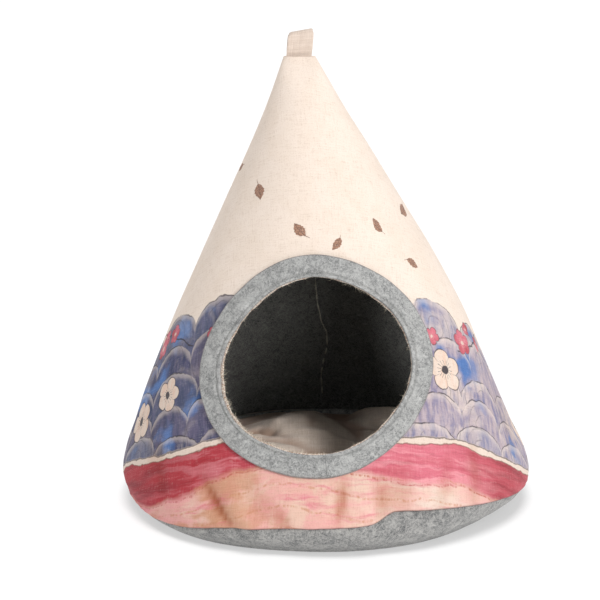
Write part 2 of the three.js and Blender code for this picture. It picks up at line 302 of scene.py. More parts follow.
def ellipseShare(right, up, grow):
    # 1 on the edge of the opening when that is grown by so much, and less inside it
    return np.hypot(right / (entrance["halfWidth"] + grow), up / (entrance["halfHeight"] + grow))


def doorShare(points):
    # 1 on the inner edge of the ring, and far off on the cone's back half
    right, up = doorPlace(points)
    share = ellipseShare(right, up, pulledEdge(np.arctan2(up, right)))
    return np.where(points[..., 1] < 0, share, entrance["farOff"])


def wallRadius(angle, height):
    # the solids' wall with finer creases and soft waves, both fading towards the stiff ring
    stiff = stiffRadius(angle, height)
    at = toPoint(angle, height, stiff)
    share = doorShare(at)
    loose = softStep(cone["stiffTo"], cone["looseFrom"], share) * softStep(0, 30, cone["tip"] - height)
    wave = cone["waves"] * ripples(at, cone["waveLength"], 3)
    return stiff + loose * (foldsAt(cone["creases"], angle, height) + wave)


def wallPoint(angle, height):
    return toPoint(angle, height, wallRadius(angle, height))


def wallNormal(angle, height, radius=wallRadius):
    low = np.clip(height - 1, 0, cone["tip"] - 2)
    right, left, above, below = [toPoint(a, z, radius(a, z)) for a, z in (
        (angle + 1, height), (angle - 1, height), (angle, low + 2), (angle, low))]
    return unit(np.cross(right - left, above - below))


def roundAxis(at):
    # how far points are turned round the leaning axis, and their distance from it
    across = at[..., 0] - leanAt(at[..., 2])
    return np.degrees(np.arctan2(across, -at[..., 1])), np.hypot(across, at[..., 1])


def onDoorWall(right, up):
    # where lines straight into the cone from the entrance's plane meet the wall, by halving
    start = doorMiddle + right[..., None] * doorRight + up[..., None] * doorUp
    near = np.full(right.shape, -float(entrance["nearest"]))
    far = np.full(right.shape, float(entrance["deepest"]))
    for _ in range(entrance["halvings"]):
        middle = (near + far) / 2
        at = start - middle[..., None] * doorOut
        angle, away = roundAxis(at)
        outside = away > stiffRadius(angle, at[..., 2])
        near, far = np.where(outside, middle, near), np.where(outside, far, middle)
    at = start - near[..., None] * doorOut
    return at, roundAxis(at)[0], at[..., 2]


slantHeights = np.linspace(0, cone["tip"], cone["slantSteps"])
slantWidths = alongRows(cone["outline"]["height"], cone["outline"]["halfWidth"], slantHeights)
slantSums = np.concatenate([[0], np.cumsum(np.hypot(np.diff(slantHeights), np.diff(slantWidths)))])
panelEdge = slantSums[-1] + cone["apexAbove"]


def onPanel(angle, height):
    # place on the flat cut panel in mm: the way down the slope is the distance from the apex,
    # and the way round is spread over it, so that straight printed bands drop at the sides
    slope = panelEdge - np.interp(height, slantHeights, slantSums)
    turn = np.radians(angle) * plainRadius(angle, height) / slope
    return np.stack([slope * np.sin(turn), -slope * np.cos(turn)], -1)


def wallCells(angles, rise, top, holeGrow, ragged, below=0):
    # a grid on the wall from the hem up, with the entrance left out: points just inside the hole
    # move straight out to its edge, so that the edge is round, and cells wholly inside go
    columns = len(angles)
    bottom = hemHeight(angles) - below
    heights = bottom[None, :] + (top - bottom[None, :]) * rise[:, None]
    angleGrid = np.broadcast_to(angles[None, :], heights.shape).copy()
    at = toPoint(angleGrid, heights, stiffRadius(angleGrid, heights))
    right, up = doorPlace(at)
    turn = np.arctan2(up, right)
    share = ellipseShare(right, up, holeGrow + ragged(turn) + pulledEdge(turn))
    inside = (share < 1) & (at[..., 1] < 0)
    outside = ~inside
    beside = np.zeros_like(inside)
    for axis in (0, 1):
        for shift in (1, -1):
            beside |= np.roll(outside, shift, axis=axis)
    snapped = inside & beside
    newAngle, newHeight = onDoorWall(right[snapped] / share[snapped], up[snapped] / share[snapped])[1:]
    angleGrid[snapped], heights[snapped] = newAngle, newHeight
    cells, r, c = gridQuads(*heights.shape)
    panelCells = r * (columns + 1) + c
    anyOut = outside.ravel()[cells].any(axis=1)
    deep = (inside & ~snapped).ravel()[cells]
    whole = anyOut & ~deep.any(axis=1)
    cut = anyOut & (deep.sum(axis=1) == 1)
    kept = np.argsort(deep[cut], axis=1, kind="stable")[:, :3]
    kept.sort(axis=1)
    triangles = np.take_along_axis(cells[cut], kept, axis=1)
    panelTriangles = np.take_along_axis(panelCells[cut], kept, axis=1)
    wideAngles = np.concatenate([angleGrid, angleGrid[:, :1] + 360], axis=1)
    wideHeights = np.concatenate([heights, heights[:, :1]], axis=1)
    panel = onPanel(wideAngles, wideHeights).reshape(-1, 2)
    return angleGrid, heights, (cells[whole], triangles), (panelCells[whole], panelTriangles), panel


def makeWallSheet(name, cells, outerDepth, innerDepth):
    # drops the points that no cell uses, and makes both skins
    angles, heights, faces, panelFaces, panel = cells
    at = wallPoint(angles, heights)
    normal = wallNormal(angles, heights)
    used = np.zeros(at[..., 0].size, bool)
    for f in faces:
        used[f.ravel()] = True
    number = np.cumsum(used) - 1
    outer = (at - outerDepth[..., None] * normal).reshape(-1, 3)[used]
    inner = (at - innerDepth[..., None] * normal).reshape(-1, 3)[used]
    return closedSheet(name, outer, inner, [number[f] for f in faces], panelFaces, panel)


# Cover

coverSheet = {
    "thick": 1.2,
    "columns": 300,
    "rows": 150,
    "crowding": 1.35,    # rows stand closer together near the hem
    "rawEdge": 0.1,      # the cut edge stands this far into the opening
    "ragged": 0.8,
    "raggedWaves": ((0.5, 5, 1), (0.4, 13, 0), (0.35, 31, 2)),   # size, pace and shift
    "raggedShows": ((2.2, -148, 62), (1.0, -62, 30)),            # width, turn and spread
    "lap": 0.9,          # the hem laps this far over the base's drawn-in edge
    "roll": 1.0,         # the turned hem swells above the base and dips in at the seam
    "rollWidth": 2.4,
    "seamDip": 0.5,
    "seamWidth": 0.9,
    "puckers": 0.5,      # drawn in along the hem seam
    "puckerLength": 13,
    "puckerReach": 11,
    "backSeamDip": 0.9,
    "backSeamWidth": 1.6,
    "backCrowding": 0.3,
    "threadWidth": 0.8,    # of the dark line down the back seam
    "shadeDepth": 2,        # a crease this deep has its full painted shade, at the front and low down
    # share of the broad folds' depth that also gets painted shade
    "foldShadeShare": 0.4,
}


def raggedEdge(turn):
    # it shows as a thin frayed line, widest at the left and along the bottom
    c = coverSheet
    shows = sum(wide * bell(turned(np.degrees(turn) - at) / spread) for wide, at, spread in c["raggedShows"])
    return c["ragged"] * (swings(turn, c["raggedWaves"]) - shows)


def crowdedAngles(columns, share):
    # columns that stand closer together at the back seam
    t = np.arange(columns) * 2 / columns - 1
    return 180 * (t + share * np.sin(np.pi * t) / np.pi)


def makeCover():
    c = coverSheet
    rise = (np.arange(c["rows"] + 1) / c["rows"]) ** c["crowding"]
    angles = crowdedAngles(c["columns"], c["backCrowding"])
    cells = wallCells(angles, rise, cone["tip"], -c["rawEdge"], raggedEdge, c["lap"])
    angle, height = cells[:2]
    aboveHem = height - hemHeight(angle) + c["lap"]
    roll = (c["roll"] * bell((aboveHem - c["rollWidth"]) / c["rollWidth"])
            - c["seamDip"] * bell(aboveHem / c["seamWidth"]))
    near = bell(aboveHem / c["puckerReach"])
    pucker = c["puckers"] * ripples(stiffPoint(angle, height), c["puckerLength"], 8) * near
    across = np.radians(turned(angle - 180)) * plainRadius(angle, height)
    seam = c["backSeamDip"] * bell(across / c["backSeamWidth"]) * softStep(0, 12, cone["tip"] - height)
    outerDepth = seam - roll - np.maximum(pucker, -0.25)
    innerDepth = c["thick"] + np.maximum(seam - 0.4, 0)
    cover = makeWallSheet("coverCloth", cells, outerDepth, innerDepth)
    at = meshPoints(cover.data)
    # the cut edge is bare where it shows inside the ring
    addAttribute(cover, "rawEdge", softStep(1.035, 1.0, doorShare(at)))
    around = roundAxis(at)[0]
    above = at[:, 2] - hemHeight(around) + c["lap"]
    behind = np.radians(turned(around - 180)) * np.hypot(at[:, 0], at[:, 1])
    backLine = 0.6 * bell(behind / c["threadWidth"])
    # painted shadow along the hem where the cover laps over the base, and a dark line down the back seam
    addAttribute(cover, "hemShadowAndSeamLine", np.maximum(bell(above / c["seamWidth"]), backLine))
    # painted warm shade where the cloth sinks in creases and folds, at the front and low down
    folded, creased = [foldsAt(cone[kind], around, at[:, 2]) for kind in ("folds", "creases")]
    sunk = -creased - c["foldShadeShare"] * folded
    shadeReach = softStep(140, 60, at[:, 2]) * softStep(105, 75, np.abs(around))
    addAttribute(cover, "hollowShade", np.clip(sunk / c["shadeDepth"], 0, 1) * shadeReach)
    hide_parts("cover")
    return cover


# Lining

liningSheet = {
    "under": 1.5,       # outer face, behind the outside of the cover
    "thick": 3,
    "columns": 240,
    "rows": 96,
    "crowding": 1.25,
    "backCrowding": 0.76,
    "top": 410,
    "behindRing": 2,
    "ridge": 2.3,
    "ridgeWidth": 9,
    "pinch": 1.5,       # the sharp line of the seam on the ridge
    "pinchWidth": 1.5,
    "soft": 0.5,
    "softLength": 34,
}


def makeLining():
    c = liningSheet
    rise = (np.arange(c["rows"] + 1) / c["rows"]) ** c["crowding"]
    angles = crowdedAngles(c["columns"], c["backCrowding"])
    cells = wallCells(angles, rise, c["top"], c["behindRing"], lambda turn: 0 * turn)
    angle, height = cells[:2]
    across = np.radians(turned(angle - 180)) * plainRadius(angle, height) - seamDrift(height)
    ridge = c["ridge"] * bell(across / c["ridgeWidth"]) + c["pinch"] * bell(across / c["pinchWidth"])
    soft = c["soft"] * (1 + ripples(stiffPoint(angle, height), c["softLength"], 12)) / 2
    outerDepth = np.full(angle.shape, float(c["under"]))
    lining = makeWallSheet("liningFelt", cells, outerDepth, outerDepth + c["thick"] + ridge + soft)
    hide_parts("lining")
    return lining


backSeam = {
    "heights": (52, 372),
    "steps": 90,
    "radius": 0.75,
    "stand": 0.3,       # over the ridge
    "sink": 0.8,        # low down the thread lies deeper in the felt
    "wander": ((0.5, 1 / 9, 0), (0.3, 1 / 3.7, 0)),   # size, pace and shift
    "lumps": ((0.3, 1 / 2.1, 0), (0.2, 1 / 0.83, 0)),
    "drift": table("height away", (0, 0), (83, 0), (104, -4), (122, -7.7), (130, -7.2), (139, -3.5),
                   (149, 0), (166, 2.7), (193, 3.7), (260, 7), (330, 8), (410, 8)),
}


def seamDrift(height):
    # how far to the left of the middle the seam wanders
    rows = backSeam["drift"]
    return alongRows(rows["height"], rows["away"], height) + swings(height, backSeam["wander"])


def tubeAlong(name, path, radius, up, sides=8):
    # a thread: rings of points round a path, closed in a point at each end
    ahead = unit(np.gradient(path, axis=0))
    side = unit(np.cross(up, ahead))
    up = np.cross(ahead, side)
    turn = np.arange(sides) * 2 * np.pi / sides
    ringPoints = np.cos(turn)[:, None] * side[:, None] + np.sin(turn)[:, None] * up[:, None]
    grid = path[:, None] + radius[:, None, None] * ringPoints
    poles = [path[0] - ahead[0] * radius[0] / 2, path[-1] + ahead[-1] * radius[-1] / 2]
    return roundBody(name, grid, np.stack(poles))


def makeBackSeam():
    c = backSeam
    height = np.linspace(*c["heights"], c["steps"])
    angle = 180 + np.degrees(seamDrift(height) / plainRadius(180 + 0 * height, height))
    normal = wallNormal(angle, height)
    depth = sum(liningSheet[part] for part in ("under", "thick", "ridge", "pinch")) + c["stand"]
    path = wallPoint(angle, height) - (depth - c["sink"] * softStep(135, 108, height))[:, None] * normal
    thread = tubeAlong("backSeam", path, c["radius"] * (1 + swings(height, c["lumps"])), normal)
    return thread


# Ring of felt round the entrance

feltRing = {
    "side": 19.5,          # its width at the sides, and at the top and the bottom
    "end": 21.5,
    "reach": 98,           # from the middle of the opening to the middle of the ring
    "thick": 3,
    "air": 0.5,
    "columns": 320,
    "uneven": ((0.5, 3, 0.7), (0.25, 8, 0), (0.16, 21, 1)),   # size, pace and shift
    "crown": 0.35,
    "groove": 3.7,         # from the inner edge to the line of stitches
    "grooveDepth": 1.5,
    "grooveWidth": 0.95,
    "jointTurn": -85.2,    # where the strip's two ends meet
    "jointDepth": 0.8,
    "jointWidth": 0.4,
    "jointRows": (-2.4, -1.6, -1, -0.6, -0.3, 0, 0.3, 0.6, 1, 1.6, 2.4),   # mm from it
    "nick": 187,           # a small kink in the inner edge
    "nickDepth": 1.1,
    "nickSpread": 2.4,
    "stitch": 2.9,
    "stitchPitch": 3.7,
    "thread": 0.42,
}


def ringPlace(turn, share, stand):
    # a point of the ring: its turn round the opening, its share of the width and its height
    c = feltRing
    nick = c["nickDepth"] * bell(turned(np.degrees(turn) - c["nick"]) / c["nickSpread"]) * (1 - share)
    grow = swings(turn, c["uneven"]) * (share - 0.35) - nick + pulledEdge(turn)
    right = (entrance["halfWidth"] + c["side"] * share + grow) * np.cos(turn)
    up = (entrance["halfHeight"] + c["end"] * share + grow) * np.sin(turn)
    at, angle, height = onDoorWall(right, up)
    normal = wallNormal(angle, height, stiffRadius)
    return at + (c["air"] + stand)[..., None] * normal, normal


def ringTop(turn, share):
    # height of the felt's face: flat, eased to its edges, with the groove and the joint
    c = feltRing
    fromInner = share * (c["side"] + (c["end"] - c["side"]) * np.abs(np.sin(turn)))
    groove = c["grooveDepth"] * bell((fromInner - c["groove"]) / c["grooveWidth"])
    away = turned(np.degrees(turn) - c["jointTurn"]) * np.pi / 180 * c["reach"]
    joint = c["jointDepth"] * bell(away / c["jointWidth"]) * softStep(0, 0.06, share)
    crown = c["crown"] * (1 - (2 * share - 1) ** 2)
    return c["thick"] - 0.25 + crown - groove - joint


def makeRing():
    c = feltRing
    joint = math.radians(c["jointTurn"])
    fine = joint + np.array(c["jointRows"]) / c["reach"]
    evenTurns = np.linspace(-math.pi, math.pi, c["columns"], endpoint=False)
    evenTurns = evenTurns[np.abs(evenTurns - joint) > 3.2 / c["reach"]]
    turns = np.sort(np.concatenate([evenTurns, fine]))
    # rows from under the ring round its outer edge, over its face and down its inner edge: the
    # share of the width, and how much of the felt's height each has
    topShares = [*np.linspace(0.985, 0.4, 12), *np.linspace(0.36, 0.1, 13), 0.075, 0.05, 0.03, 0.015]
    shares = [0.03, 0.35, 0.7, 0.975, 0.996, 1, 1, 0.996, *topShares, 0.004, 0, 0, 0.006]
    topEases = [0.95, *[1] * (len(topShares) - 2), 0.95]
    eases = np.array([0, 0, 0, 0, 0.1, 0.35, 0.7, 0.86, *topEases, 0.86, 0.66, 0.34, 0.1])
    share, turn = np.meshgrid(shares, turns, indexing="ij")
    ease = np.broadcast_to(eases[:, None], share.shape)
    at, normal = ringPlace(turn, share, ringTop(turn, share) * ease)
    at = at + (0.1 * ripples(at, 5, 21) * softStep(0.5, 1, ease))[..., None] * normal
    panel = np.stack([turn * c["reach"], share * 20 + 40 * (1 - ease)], -1)
    panel = np.concatenate([panel, panel[:, :1] + [2 * math.pi * c["reach"], 0]], axis=1)
    ring = roundBody("entranceRing", at, panel=panel)
    # painted shade along the ring's outer edge, where it meets the cover
    addAttribute(ring, "outerEdgeShade", softStep(0.95, 0.985, share).ravel())
    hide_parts("entrance_ring")
    return ring


def copiesAlong(name, shape, cells, at, ahead, side, up, lengths):
    # one mesh of many small copies: each shape point is carried into its copy's own directions
    points = (at[:, None] + (shape[:, 0] * lengths[:, None])[..., None] * ahead[:, None]
              + shape[:, 1:2] * side[:, None] + shape[:, 2:] * up[:, None])
    numbers = cells + (np.arange(len(at)) * len(shape))[:, None, None]
    return newPiece(name, points.reshape(-1, 3), numbers.reshape(-1, cells.shape[1]).tolist())


def stitchShape(half, radius, rings=7, sides=6):
    # a stitch: a thread of six sides whose two ends dive into the felt
    t = np.linspace(-1, 1, rings)
    width = radius * np.sqrt(np.clip(1 - t ** 4 * 0.9, 0, 1))
    turn = np.arange(sides) * 2 * np.pi / sides
    x = np.repeat(t * half, sides)
    y = (width[:, None] * np.cos(turn)).ravel()
    z = (width[:, None] * np.sin(turn) - (0.9 * t ** 4)[:, None]).ravel()
    return np.stack([x, y, z], -1), gridQuads(rings, sides)[0][:, ::-1]


def makeRingStitches():
    c = feltRing
    middle = (c["side"] + c["end"]) / 2
    share = c["groove"] / middle
    around = 2 * math.pi * (entrance["halfWidth"] + entrance["halfHeight"] + 2 * c["groove"]) / 2
    count = int(around / c["stitchPitch"])
    draw = np.random.default_rng(5)
    turn = -math.pi + (np.arange(count) + draw.uniform(-0.08, 0.08, count)) * 2 * math.pi / count
    turn = turn[np.abs(turn - math.radians(c["jointTurn"])) > 0.014]
    count = len(turn)
    shares = share + draw.normal(0, 0.006, count)
    stand = ringTop(turn, shares) + 0.12
    at, up = ringPlace(turn, shares, stand)
    ahead = unit(ringPlace(turn + 0.01, shares, stand)[0] - ringPlace(turn - 0.01, shares, stand)[0])
    side = np.cross(up, ahead)
    lean = draw.normal(0.12, 0.05, count)[:, None]
    ahead, side = unit(ahead + lean * side), unit(side - lean * ahead)
    shape, cells = stitchShape(0.5, c["thread"])
    lengths = c["stitch"] * draw.uniform(0.93, 1.07, count)
    stitches = copiesAlong("ringStitches", shape, cells, at, ahead, side, up, lengths)
    return stitches


def hairTubes(name, roots, directions, lifts, lengths, radii, bends, steps=6):
    # many short threads: each runs from its root, bends aside and tapers, with three sides
    t = np.linspace(0, 1, steps)
    path = (roots[:, None] + (lengths[:, None] * t)[..., None] * directions[:, None]
            + (bends[:, None] * t ** 2)[..., None] * lifts[:, None])
    ahead = unit(np.gradient(path, axis=1))
    side = unit(np.cross(ahead, lifts[:, None]))
    up = np.cross(side, ahead)
    width = radii[:, None] * (1 - 0.75 * t)
    turn = np.arange(3) * 2 * np.pi / 3
    ringPoints = np.cos(turn)[:, None] * side[:, :, None] + np.sin(turn)[:, None] * up[:, :, None]
    points = path[:, :, None] + width[..., None, None] * ringPoints
    start = np.arange(len(roots)) * steps * 3
    quads = (gridQuads(steps, 3)[0] + start[:, None, None]).reshape(-1, 4)
    ends = np.concatenate([start[:, None] + [2, 1, 0], start[:, None] + (steps - 1) * 3 + [0, 1, 2]])
    return newPiece(name, points.reshape(-1, 3), quads.tolist() + ends.tolist())


frays = {"count": 440, "length": 2.1, "thick": 0.12, "behind": 0.7, "inside": 0.4}


def makeFrays():
    # loose ends of thread along the cover's cut edge, thickest at the lower left
    c = frays
    draw = np.random.default_rng(31)
    half, count = c["count"] // 2, c["count"]
    turn = np.radians(turned(np.concatenate([draw.uniform(-180, 180, half), draw.normal(-140, 34, half)])))
    edge = raggedEdge(turn) - coverSheet["rawEdge"] + pulledEdge(turn) + c["inside"]
    right = (entrance["halfWidth"] + edge) * np.cos(turn)
    up = (entrance["halfHeight"] + edge) * np.sin(turn)
    at, angle, height = onDoorWall(right, up)
    normal = wallNormal(angle, height, stiffRadius)
    roots = at - (c["behind"] + draw.uniform(-0.35, 0.35, count))[:, None] * normal
    inwards = -(np.cos(turn)[:, None] * doorRight + np.sin(turn)[:, None] * doorUp)
    tangent = np.cross(normal, inwards)

    def stray(spread):
        return draw.normal(0, spread, count)[:, None]

    directions = unit(inwards + stray(0.55) * tangent + stray(0.25) * normal)
    lifts = unit(tangent * draw.choice([-1, 1], count)[:, None] + stray(0.5) * normal)
    lengths = c["length"] * draw.gamma(4, 0.25, count)
    bends = lengths * draw.uniform(0.1, 0.7, count)
    fray = hairTubes("edgeFrays", roots, directions, lifts, lengths, np.full(count, c["thick"]), bends)
    return fray


# Base

feltBase = {
    "thick": 4,
    "underRows": (0.2, 0.45, 0.7, 0.86, 0.95),      # shares of the floor's radius
    "floorRows": (1, 0.93, 0.8, 0.6, 0.35, 0.15),
    "underHem": 0.3,
    "columns": 264,
    "sideRows": 18,
    "insideRows": 12,
    "tuck": 1.7,       # the top edge draws in under the lapped hem
    "tuckReach": 1.8,
    "uneven": 0.35,
    "unevenLength": 22,
}


def makeBase():
    c = feltBase
    angles = np.arange(c["columns"]) * 360 / c["columns"] - 180
    rimTop = hemHeight(angles) - c["underHem"]
    wall = coverSheet["thick"] + 0.3 + liningSheet["thick"]

    def floorRows(shares, height, shrink):
        radius = (wallRadius(angles, 0 * angles) - shrink) * np.array(shares)[:, None]
        turn = np.radians(angles)
        return np.stack([radius * np.sin(turn), -radius * np.cos(turn), 0 * radius + height], -1)

    share = ((np.arange(c["sideRows"] + 1) / c["sideRows"]) ** 1.1)[:, None]
    heights = rimTop * share
    wide = np.broadcast_to(angles, heights.shape)
    normal = wallNormal(wide, np.maximum(heights, 1))
    outside = wallPoint(wide, heights)
    below = rimTop - heights
    inMiddle = softStep(0, 9, heights) * softStep(0, 5, below)
    uneven = c["uneven"] * ripples(outside, c["unevenLength"], 41) * inMiddle
    outside = outside - (c["tuck"] * bell(below / c["tuckReach"]) - uneven)[..., None] * normal
    outside[..., 2] = np.clip(outside[..., 2], 0, rimTop)
    share = (1 - np.arange(c["insideRows"]) / c["insideRows"])[:, None]
    heights = c["thick"] + (rimTop - c["thick"]) * share
    wide = np.broadcast_to(angles, heights.shape)
    inside = wallPoint(wide, heights) - wall * wallNormal(wide, heights)
    inside[..., 2] = heights
    rim = (outside[-1:] + inside[:1]) / 2
    grid = np.concatenate([floorRows(c["underRows"], 0, 0), outside, rim, inside,
                           floorRows(c["floorRows"], c["thick"], 8)])
    base = roundBody("baseFelt", grid, poles=np.array([[0, 0, 0], [0, 0, c["thick"]]]))
    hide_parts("base")
    return base


# Cushion

cushionShape = {
    "radius": 186,
    "equator": 28,
    "crown": 58.6,
    "section": table("share height", (0.4, 4.3), (0.78, 4.3), (0.91, 8.5), (0.98, 17), (1, 28),
                     (0.965, 36), (0.88, 43.5), (0.72, 50.5), (0.5, 55.5), (0.25, 58)),
    "dents": table("x y spread rise", (-25, 62, 48, 6), (16, 84, 17, -11), (82, 92, 46, 13),
                   (-92, 60, 44, -8), (20, -40, 60, -5), (0, 20, 26, 3)),
    "puckers": {"count": 18, "depth": 2.2, "reach": 12},
    "rows": 46,
    "columns": 160,
    "shrink": 2.5,        # the cloth swells back by about this much
    "voxel": 5.5,
    "pressure": 4,
    "frames": 20,
    "swell": 4,           # cap on how far a point may move
    "uneven": 0.7,
    "unevenLength": 26,
    "forms": table("x y turn long wide rise",   # the loose filling's mounds and hollows
                   (-16, 62, 70, 44, 30, 2.5), (-20, 124, 0, 30, 26, -4), (-92, 118, 0, 46, 56, -12),
                   (19, 118, 90, 76, 17, -12), (-6, 152, 0, 42, 26, -7), (16, 164, 90, 34, 17, -6),
                   (74, 116, 0, 44, 40, -1.5), (-60, 6, 50, 60, 22, -3)),
    "folds": table("x y turn long wide rise",   # troughs and ridges in the top cloth
                   (-66, 34, -34, 34, 7, -6.5), (-50, 58, -64, 40, 7, 3), (28, 44, -62, 44, 8, -5),
                   (44, 58, -58, 44, 8, 3.4), (-8, 10, -24, 46, 8, 2.4), (62, 20, -46, 40, 6, -3),
                   (-30, -18, -40, 44, 6, -2.4), (84, 46, -30, 36, 7, 2.4), (-96, 10, 60, 40, 8, -2.4),
                   (0, -44, 10, 60, 8, -2), (56, -30, -40, 44, 7, 2), (-10, 44, 84, 24, 6, -1.8)),
}


def pressedTop(x, y, height):
    c = cushionShape
    share = np.clip((height - c["equator"]) / (c["crown"] - c["equator"]), 0, 1)
    d = c["dents"]
    away = np.hypot(x[..., None] - d["x"], y[..., None] - d["y"]) / d["spread"]
    return height + (d["rise"] * bell(away)).sum(axis=-1) * share


def topFolds(f, x, y):
    # height of a table of folds: each is a soft line, long one way and narrow the other
    turn = np.radians(f["turn"])
    dx, dy = x[..., None] - f["x"], y[..., None] - f["y"]
    along = dx * np.cos(turn) + dy * np.sin(turn)
    across = -dx * np.sin(turn) + dy * np.cos(turn) + 0.006 * along ** 2
    return (f["rise"] * bell(along / f["long"]) * bell(across / f["wide"])).sum(axis=-1)


def cushionGrid(shrink):
    c = cushionShape
    s = c["section"]
    order = np.arange(len(s["share"]))
    rows = np.linspace(0, order[-1], c["rows"])
    share, height = [alongRows(order, s[column], rows)[:, None] for column in ("share", "height")]
    turn = np.arange(c["columns"]) * 2 * np.pi / c["columns"]
    p = c["puckers"]
    drawn = bell((height - c["equator"]) / p["reach"]) * (1 + np.cos(p["count"] * turn)) / 2
    radius = c["radius"] * share - p["depth"] * drawn - shrink
    x, y = radius * np.sin(turn), -radius * np.cos(turn)
    z = pressedTop(x, y, height + 0 * x)
    z = np.where(height > c["equator"], z - shrink, z)
    crown = pressedTop(np.zeros(1), np.zeros(1), np.full(1, c["crown"]))[0] - shrink
    return np.stack([x, y, z], -1), np.array([[0, 0, s["height"][0]], [0, 0, crown]])


def swelled(cushion):
    # remeshed evenly, then filled by pressure with no gravity; the movement is capped
    c = cushionShape
    bpy.context.view_layer.objects.active = cushion
    remesh = cushion.modifiers.new("even", "REMESH")
    remesh.mode, remesh.voxel_size = "VOXEL", c["voxel"] * mm
    bpy.ops.object.modifier_apply(modifier=remesh.name)
    before = meshPoints(cushion.data)
    cloth = cushion.modifiers.new("filling", "CLOTH")
    settings = cloth.settings
    settings.quality, settings.mass = 5, 0.25
    settings.tension_stiffness = settings.compression_stiffness = 12
    settings.bending_stiffness = 0.6
    settings.use_pressure, settings.uniform_pressure_force = True, c["pressure"]
    settings.effector_weights.gravity = 0
    cloth.point_cache.frame_start, cloth.point_cache.frame_end = 1, c["frames"]
    scene = bpy.context.scene
    for number in range(1, c["frames"] + 1):
        scene.frame_set(number)
    depsgraph = bpy.context.evaluated_depsgraph_get()
    after = meshPoints(cushion.evaluated_get(depsgraph).data)
    cushion.modifiers.remove(cloth)
    scene.frame_set(1)
    move = after - before
    far = np.linalg.norm(move, axis=1, keepdims=True)
    setPoints(cushion.data, before + move * np.minimum(1, c["swell"] / np.maximum(far, 1e-6)))


def makeCushion():
    c = cushionShape
    grid, poles = cushionGrid(c["shrink"])
    cushion = roundBody("filledCushion", grid, poles=poles)
    swelled(cushion)
    bpy.context.view_layer.objects.active = cushion
    finer = cushion.modifiers.new("finer", "SUBSURF")
    finer.levels = finer.render_levels = 1
    bpy.ops.object.modifier_apply(modifier=finer.name)
    points = meshPoints(cushion.data)
    up = softStep(c["equator"], c["crown"] - 8, points[:, 2])
    x, y = points[:, 0], points[:, 1]
    formed, folded = topFolds(c["forms"], x, y), topFolds(c["folds"], x, y)
    points[:, 2] += up * (formed + folded + c["uneven"] * ripples(points[:, :2], c["unevenLength"], 52))
    # painted warm shade in the top's folds and hollows, darker where they sink
    addAttribute(cushion, "hollowShade", np.clip(-(folded + 0.3 * formed) / 3, 0, 1))
    points[:, 2] = np.maximum(points[:, 2], c["section"]["height"][0])
    across = np.hypot(points[:, 0], points[:, 1])
    points[:, :2] *= np.minimum(1, (c["radius"] + 0.5) / np.maximum(across, 1))[:, None]
    setPoints(cushion.data, points)
    cushion.data.polygons.foreach_set("use_smooth", np.ones(len(cushion.data.polygons), bool))
    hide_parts("cushion")
    return cushion


# Hanging loop

clothLoop = {
    "width": 24.5,
    "thick": 1.3,
    "x": -23,
    "lean": 0.08,
    "slant": 0.17,
    "twist": 0.06,
    "turnsOver": 6,
    "path": table("depth height", (0.85, 431), (0.85, 438), (0.95, 445), (3.4, 449.5), (5.1, 455),
                  (5.2, 460.5), (4.2, 465), (2.3, 467.8), (0, 468.6)),
    "steps": 96,
    "across": 18,
    "hemSwell": 0.28,     # its two edges are folded in, so they are a little thicker
    "hemWidth": 3.2,
    "corner": 1.3,        # its corners are rounded off at the fold
}


def loopLine():
    # the middle line from its front end over the fold to its back end, evenly spaced
    p = clothLoop["path"]
    depth = np.concatenate([-p["depth"], p["depth"][-2::-1]])
    height = np.concatenate([p["height"], p["height"][-2::-1]])
    run = np.concatenate([[0], np.cumsum(np.hypot(np.diff(depth), np.diff(height)))])
    even = np.linspace(0, run[-1], clothLoop["steps"])
    smoothed = [alongRows(run, values, even) for values in (depth, height)]
    return smoothed[0], smoothed[1], even


def makeLoop():
    c = clothLoop
    depth, height, run = loopLine()
    side = unit(np.stack([np.gradient(depth), np.gradient(height)], -1))
    out = np.stack([-side[:, 1], side[:, 0]], -1)
    across = np.linspace(-0.5, 0.5, c["across"]) * c["width"]
    swell = c["hemSwell"] * softStep(c["hemWidth"] + 0.6, c["hemWidth"], c["width"] / 2 - np.abs(across))
    half = c["thick"] / 2 + swell - 0.3 * softStep(1, 0, c["width"] / 2 - np.abs(across))
    stand = np.concatenate([half, -half[::-1]])
    d = depth[:, None] + out[:, :1] * stand
    z = height[:, None] + out[:, 1:] * stand
    a = np.broadcast_to(np.concatenate([across, across[::-1]]), d.shape)
    fold = c["path"]["height"][-1]
    corner = c["corner"] * bell((z - fold) / 2.4)
    a = a * (1 - corner * 0.06)
    z = z - corner * np.abs(a / c["width"] * 2) ** 5
    rise = np.maximum(z - cone["tip"], 0)
    twist = c["twist"] * np.minimum(rise / c["turnsOver"], 1)
    sag = 0.25 * np.sin(run / 7)[:, None] * np.sin(a / 5) * softStep(0, 6, rise)
    grid = np.stack([
        c["x"] + a + c["lean"] * rise - twist * d,
        d + twist * a + sag,
        z + c["slant"] * a * rise / (fold - cone["tip"]),
    ], -1)
    panel = np.stack([np.broadcast_to(a, d.shape), np.broadcast_to(run[:, None], d.shape)], -1)
    panel = np.concatenate([panel, panel[:, :1]], axis=1)
    ends = np.stack([grid[0].mean(axis=0), grid[-1].mean(axis=0)])
    loop = roundBody("hangingLoop", grid, poles=ends, panel=panel)
    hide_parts("hanging_loop")
    return loop


# Shader helpers: a Field is one value that changes over the surface, with arithmetic

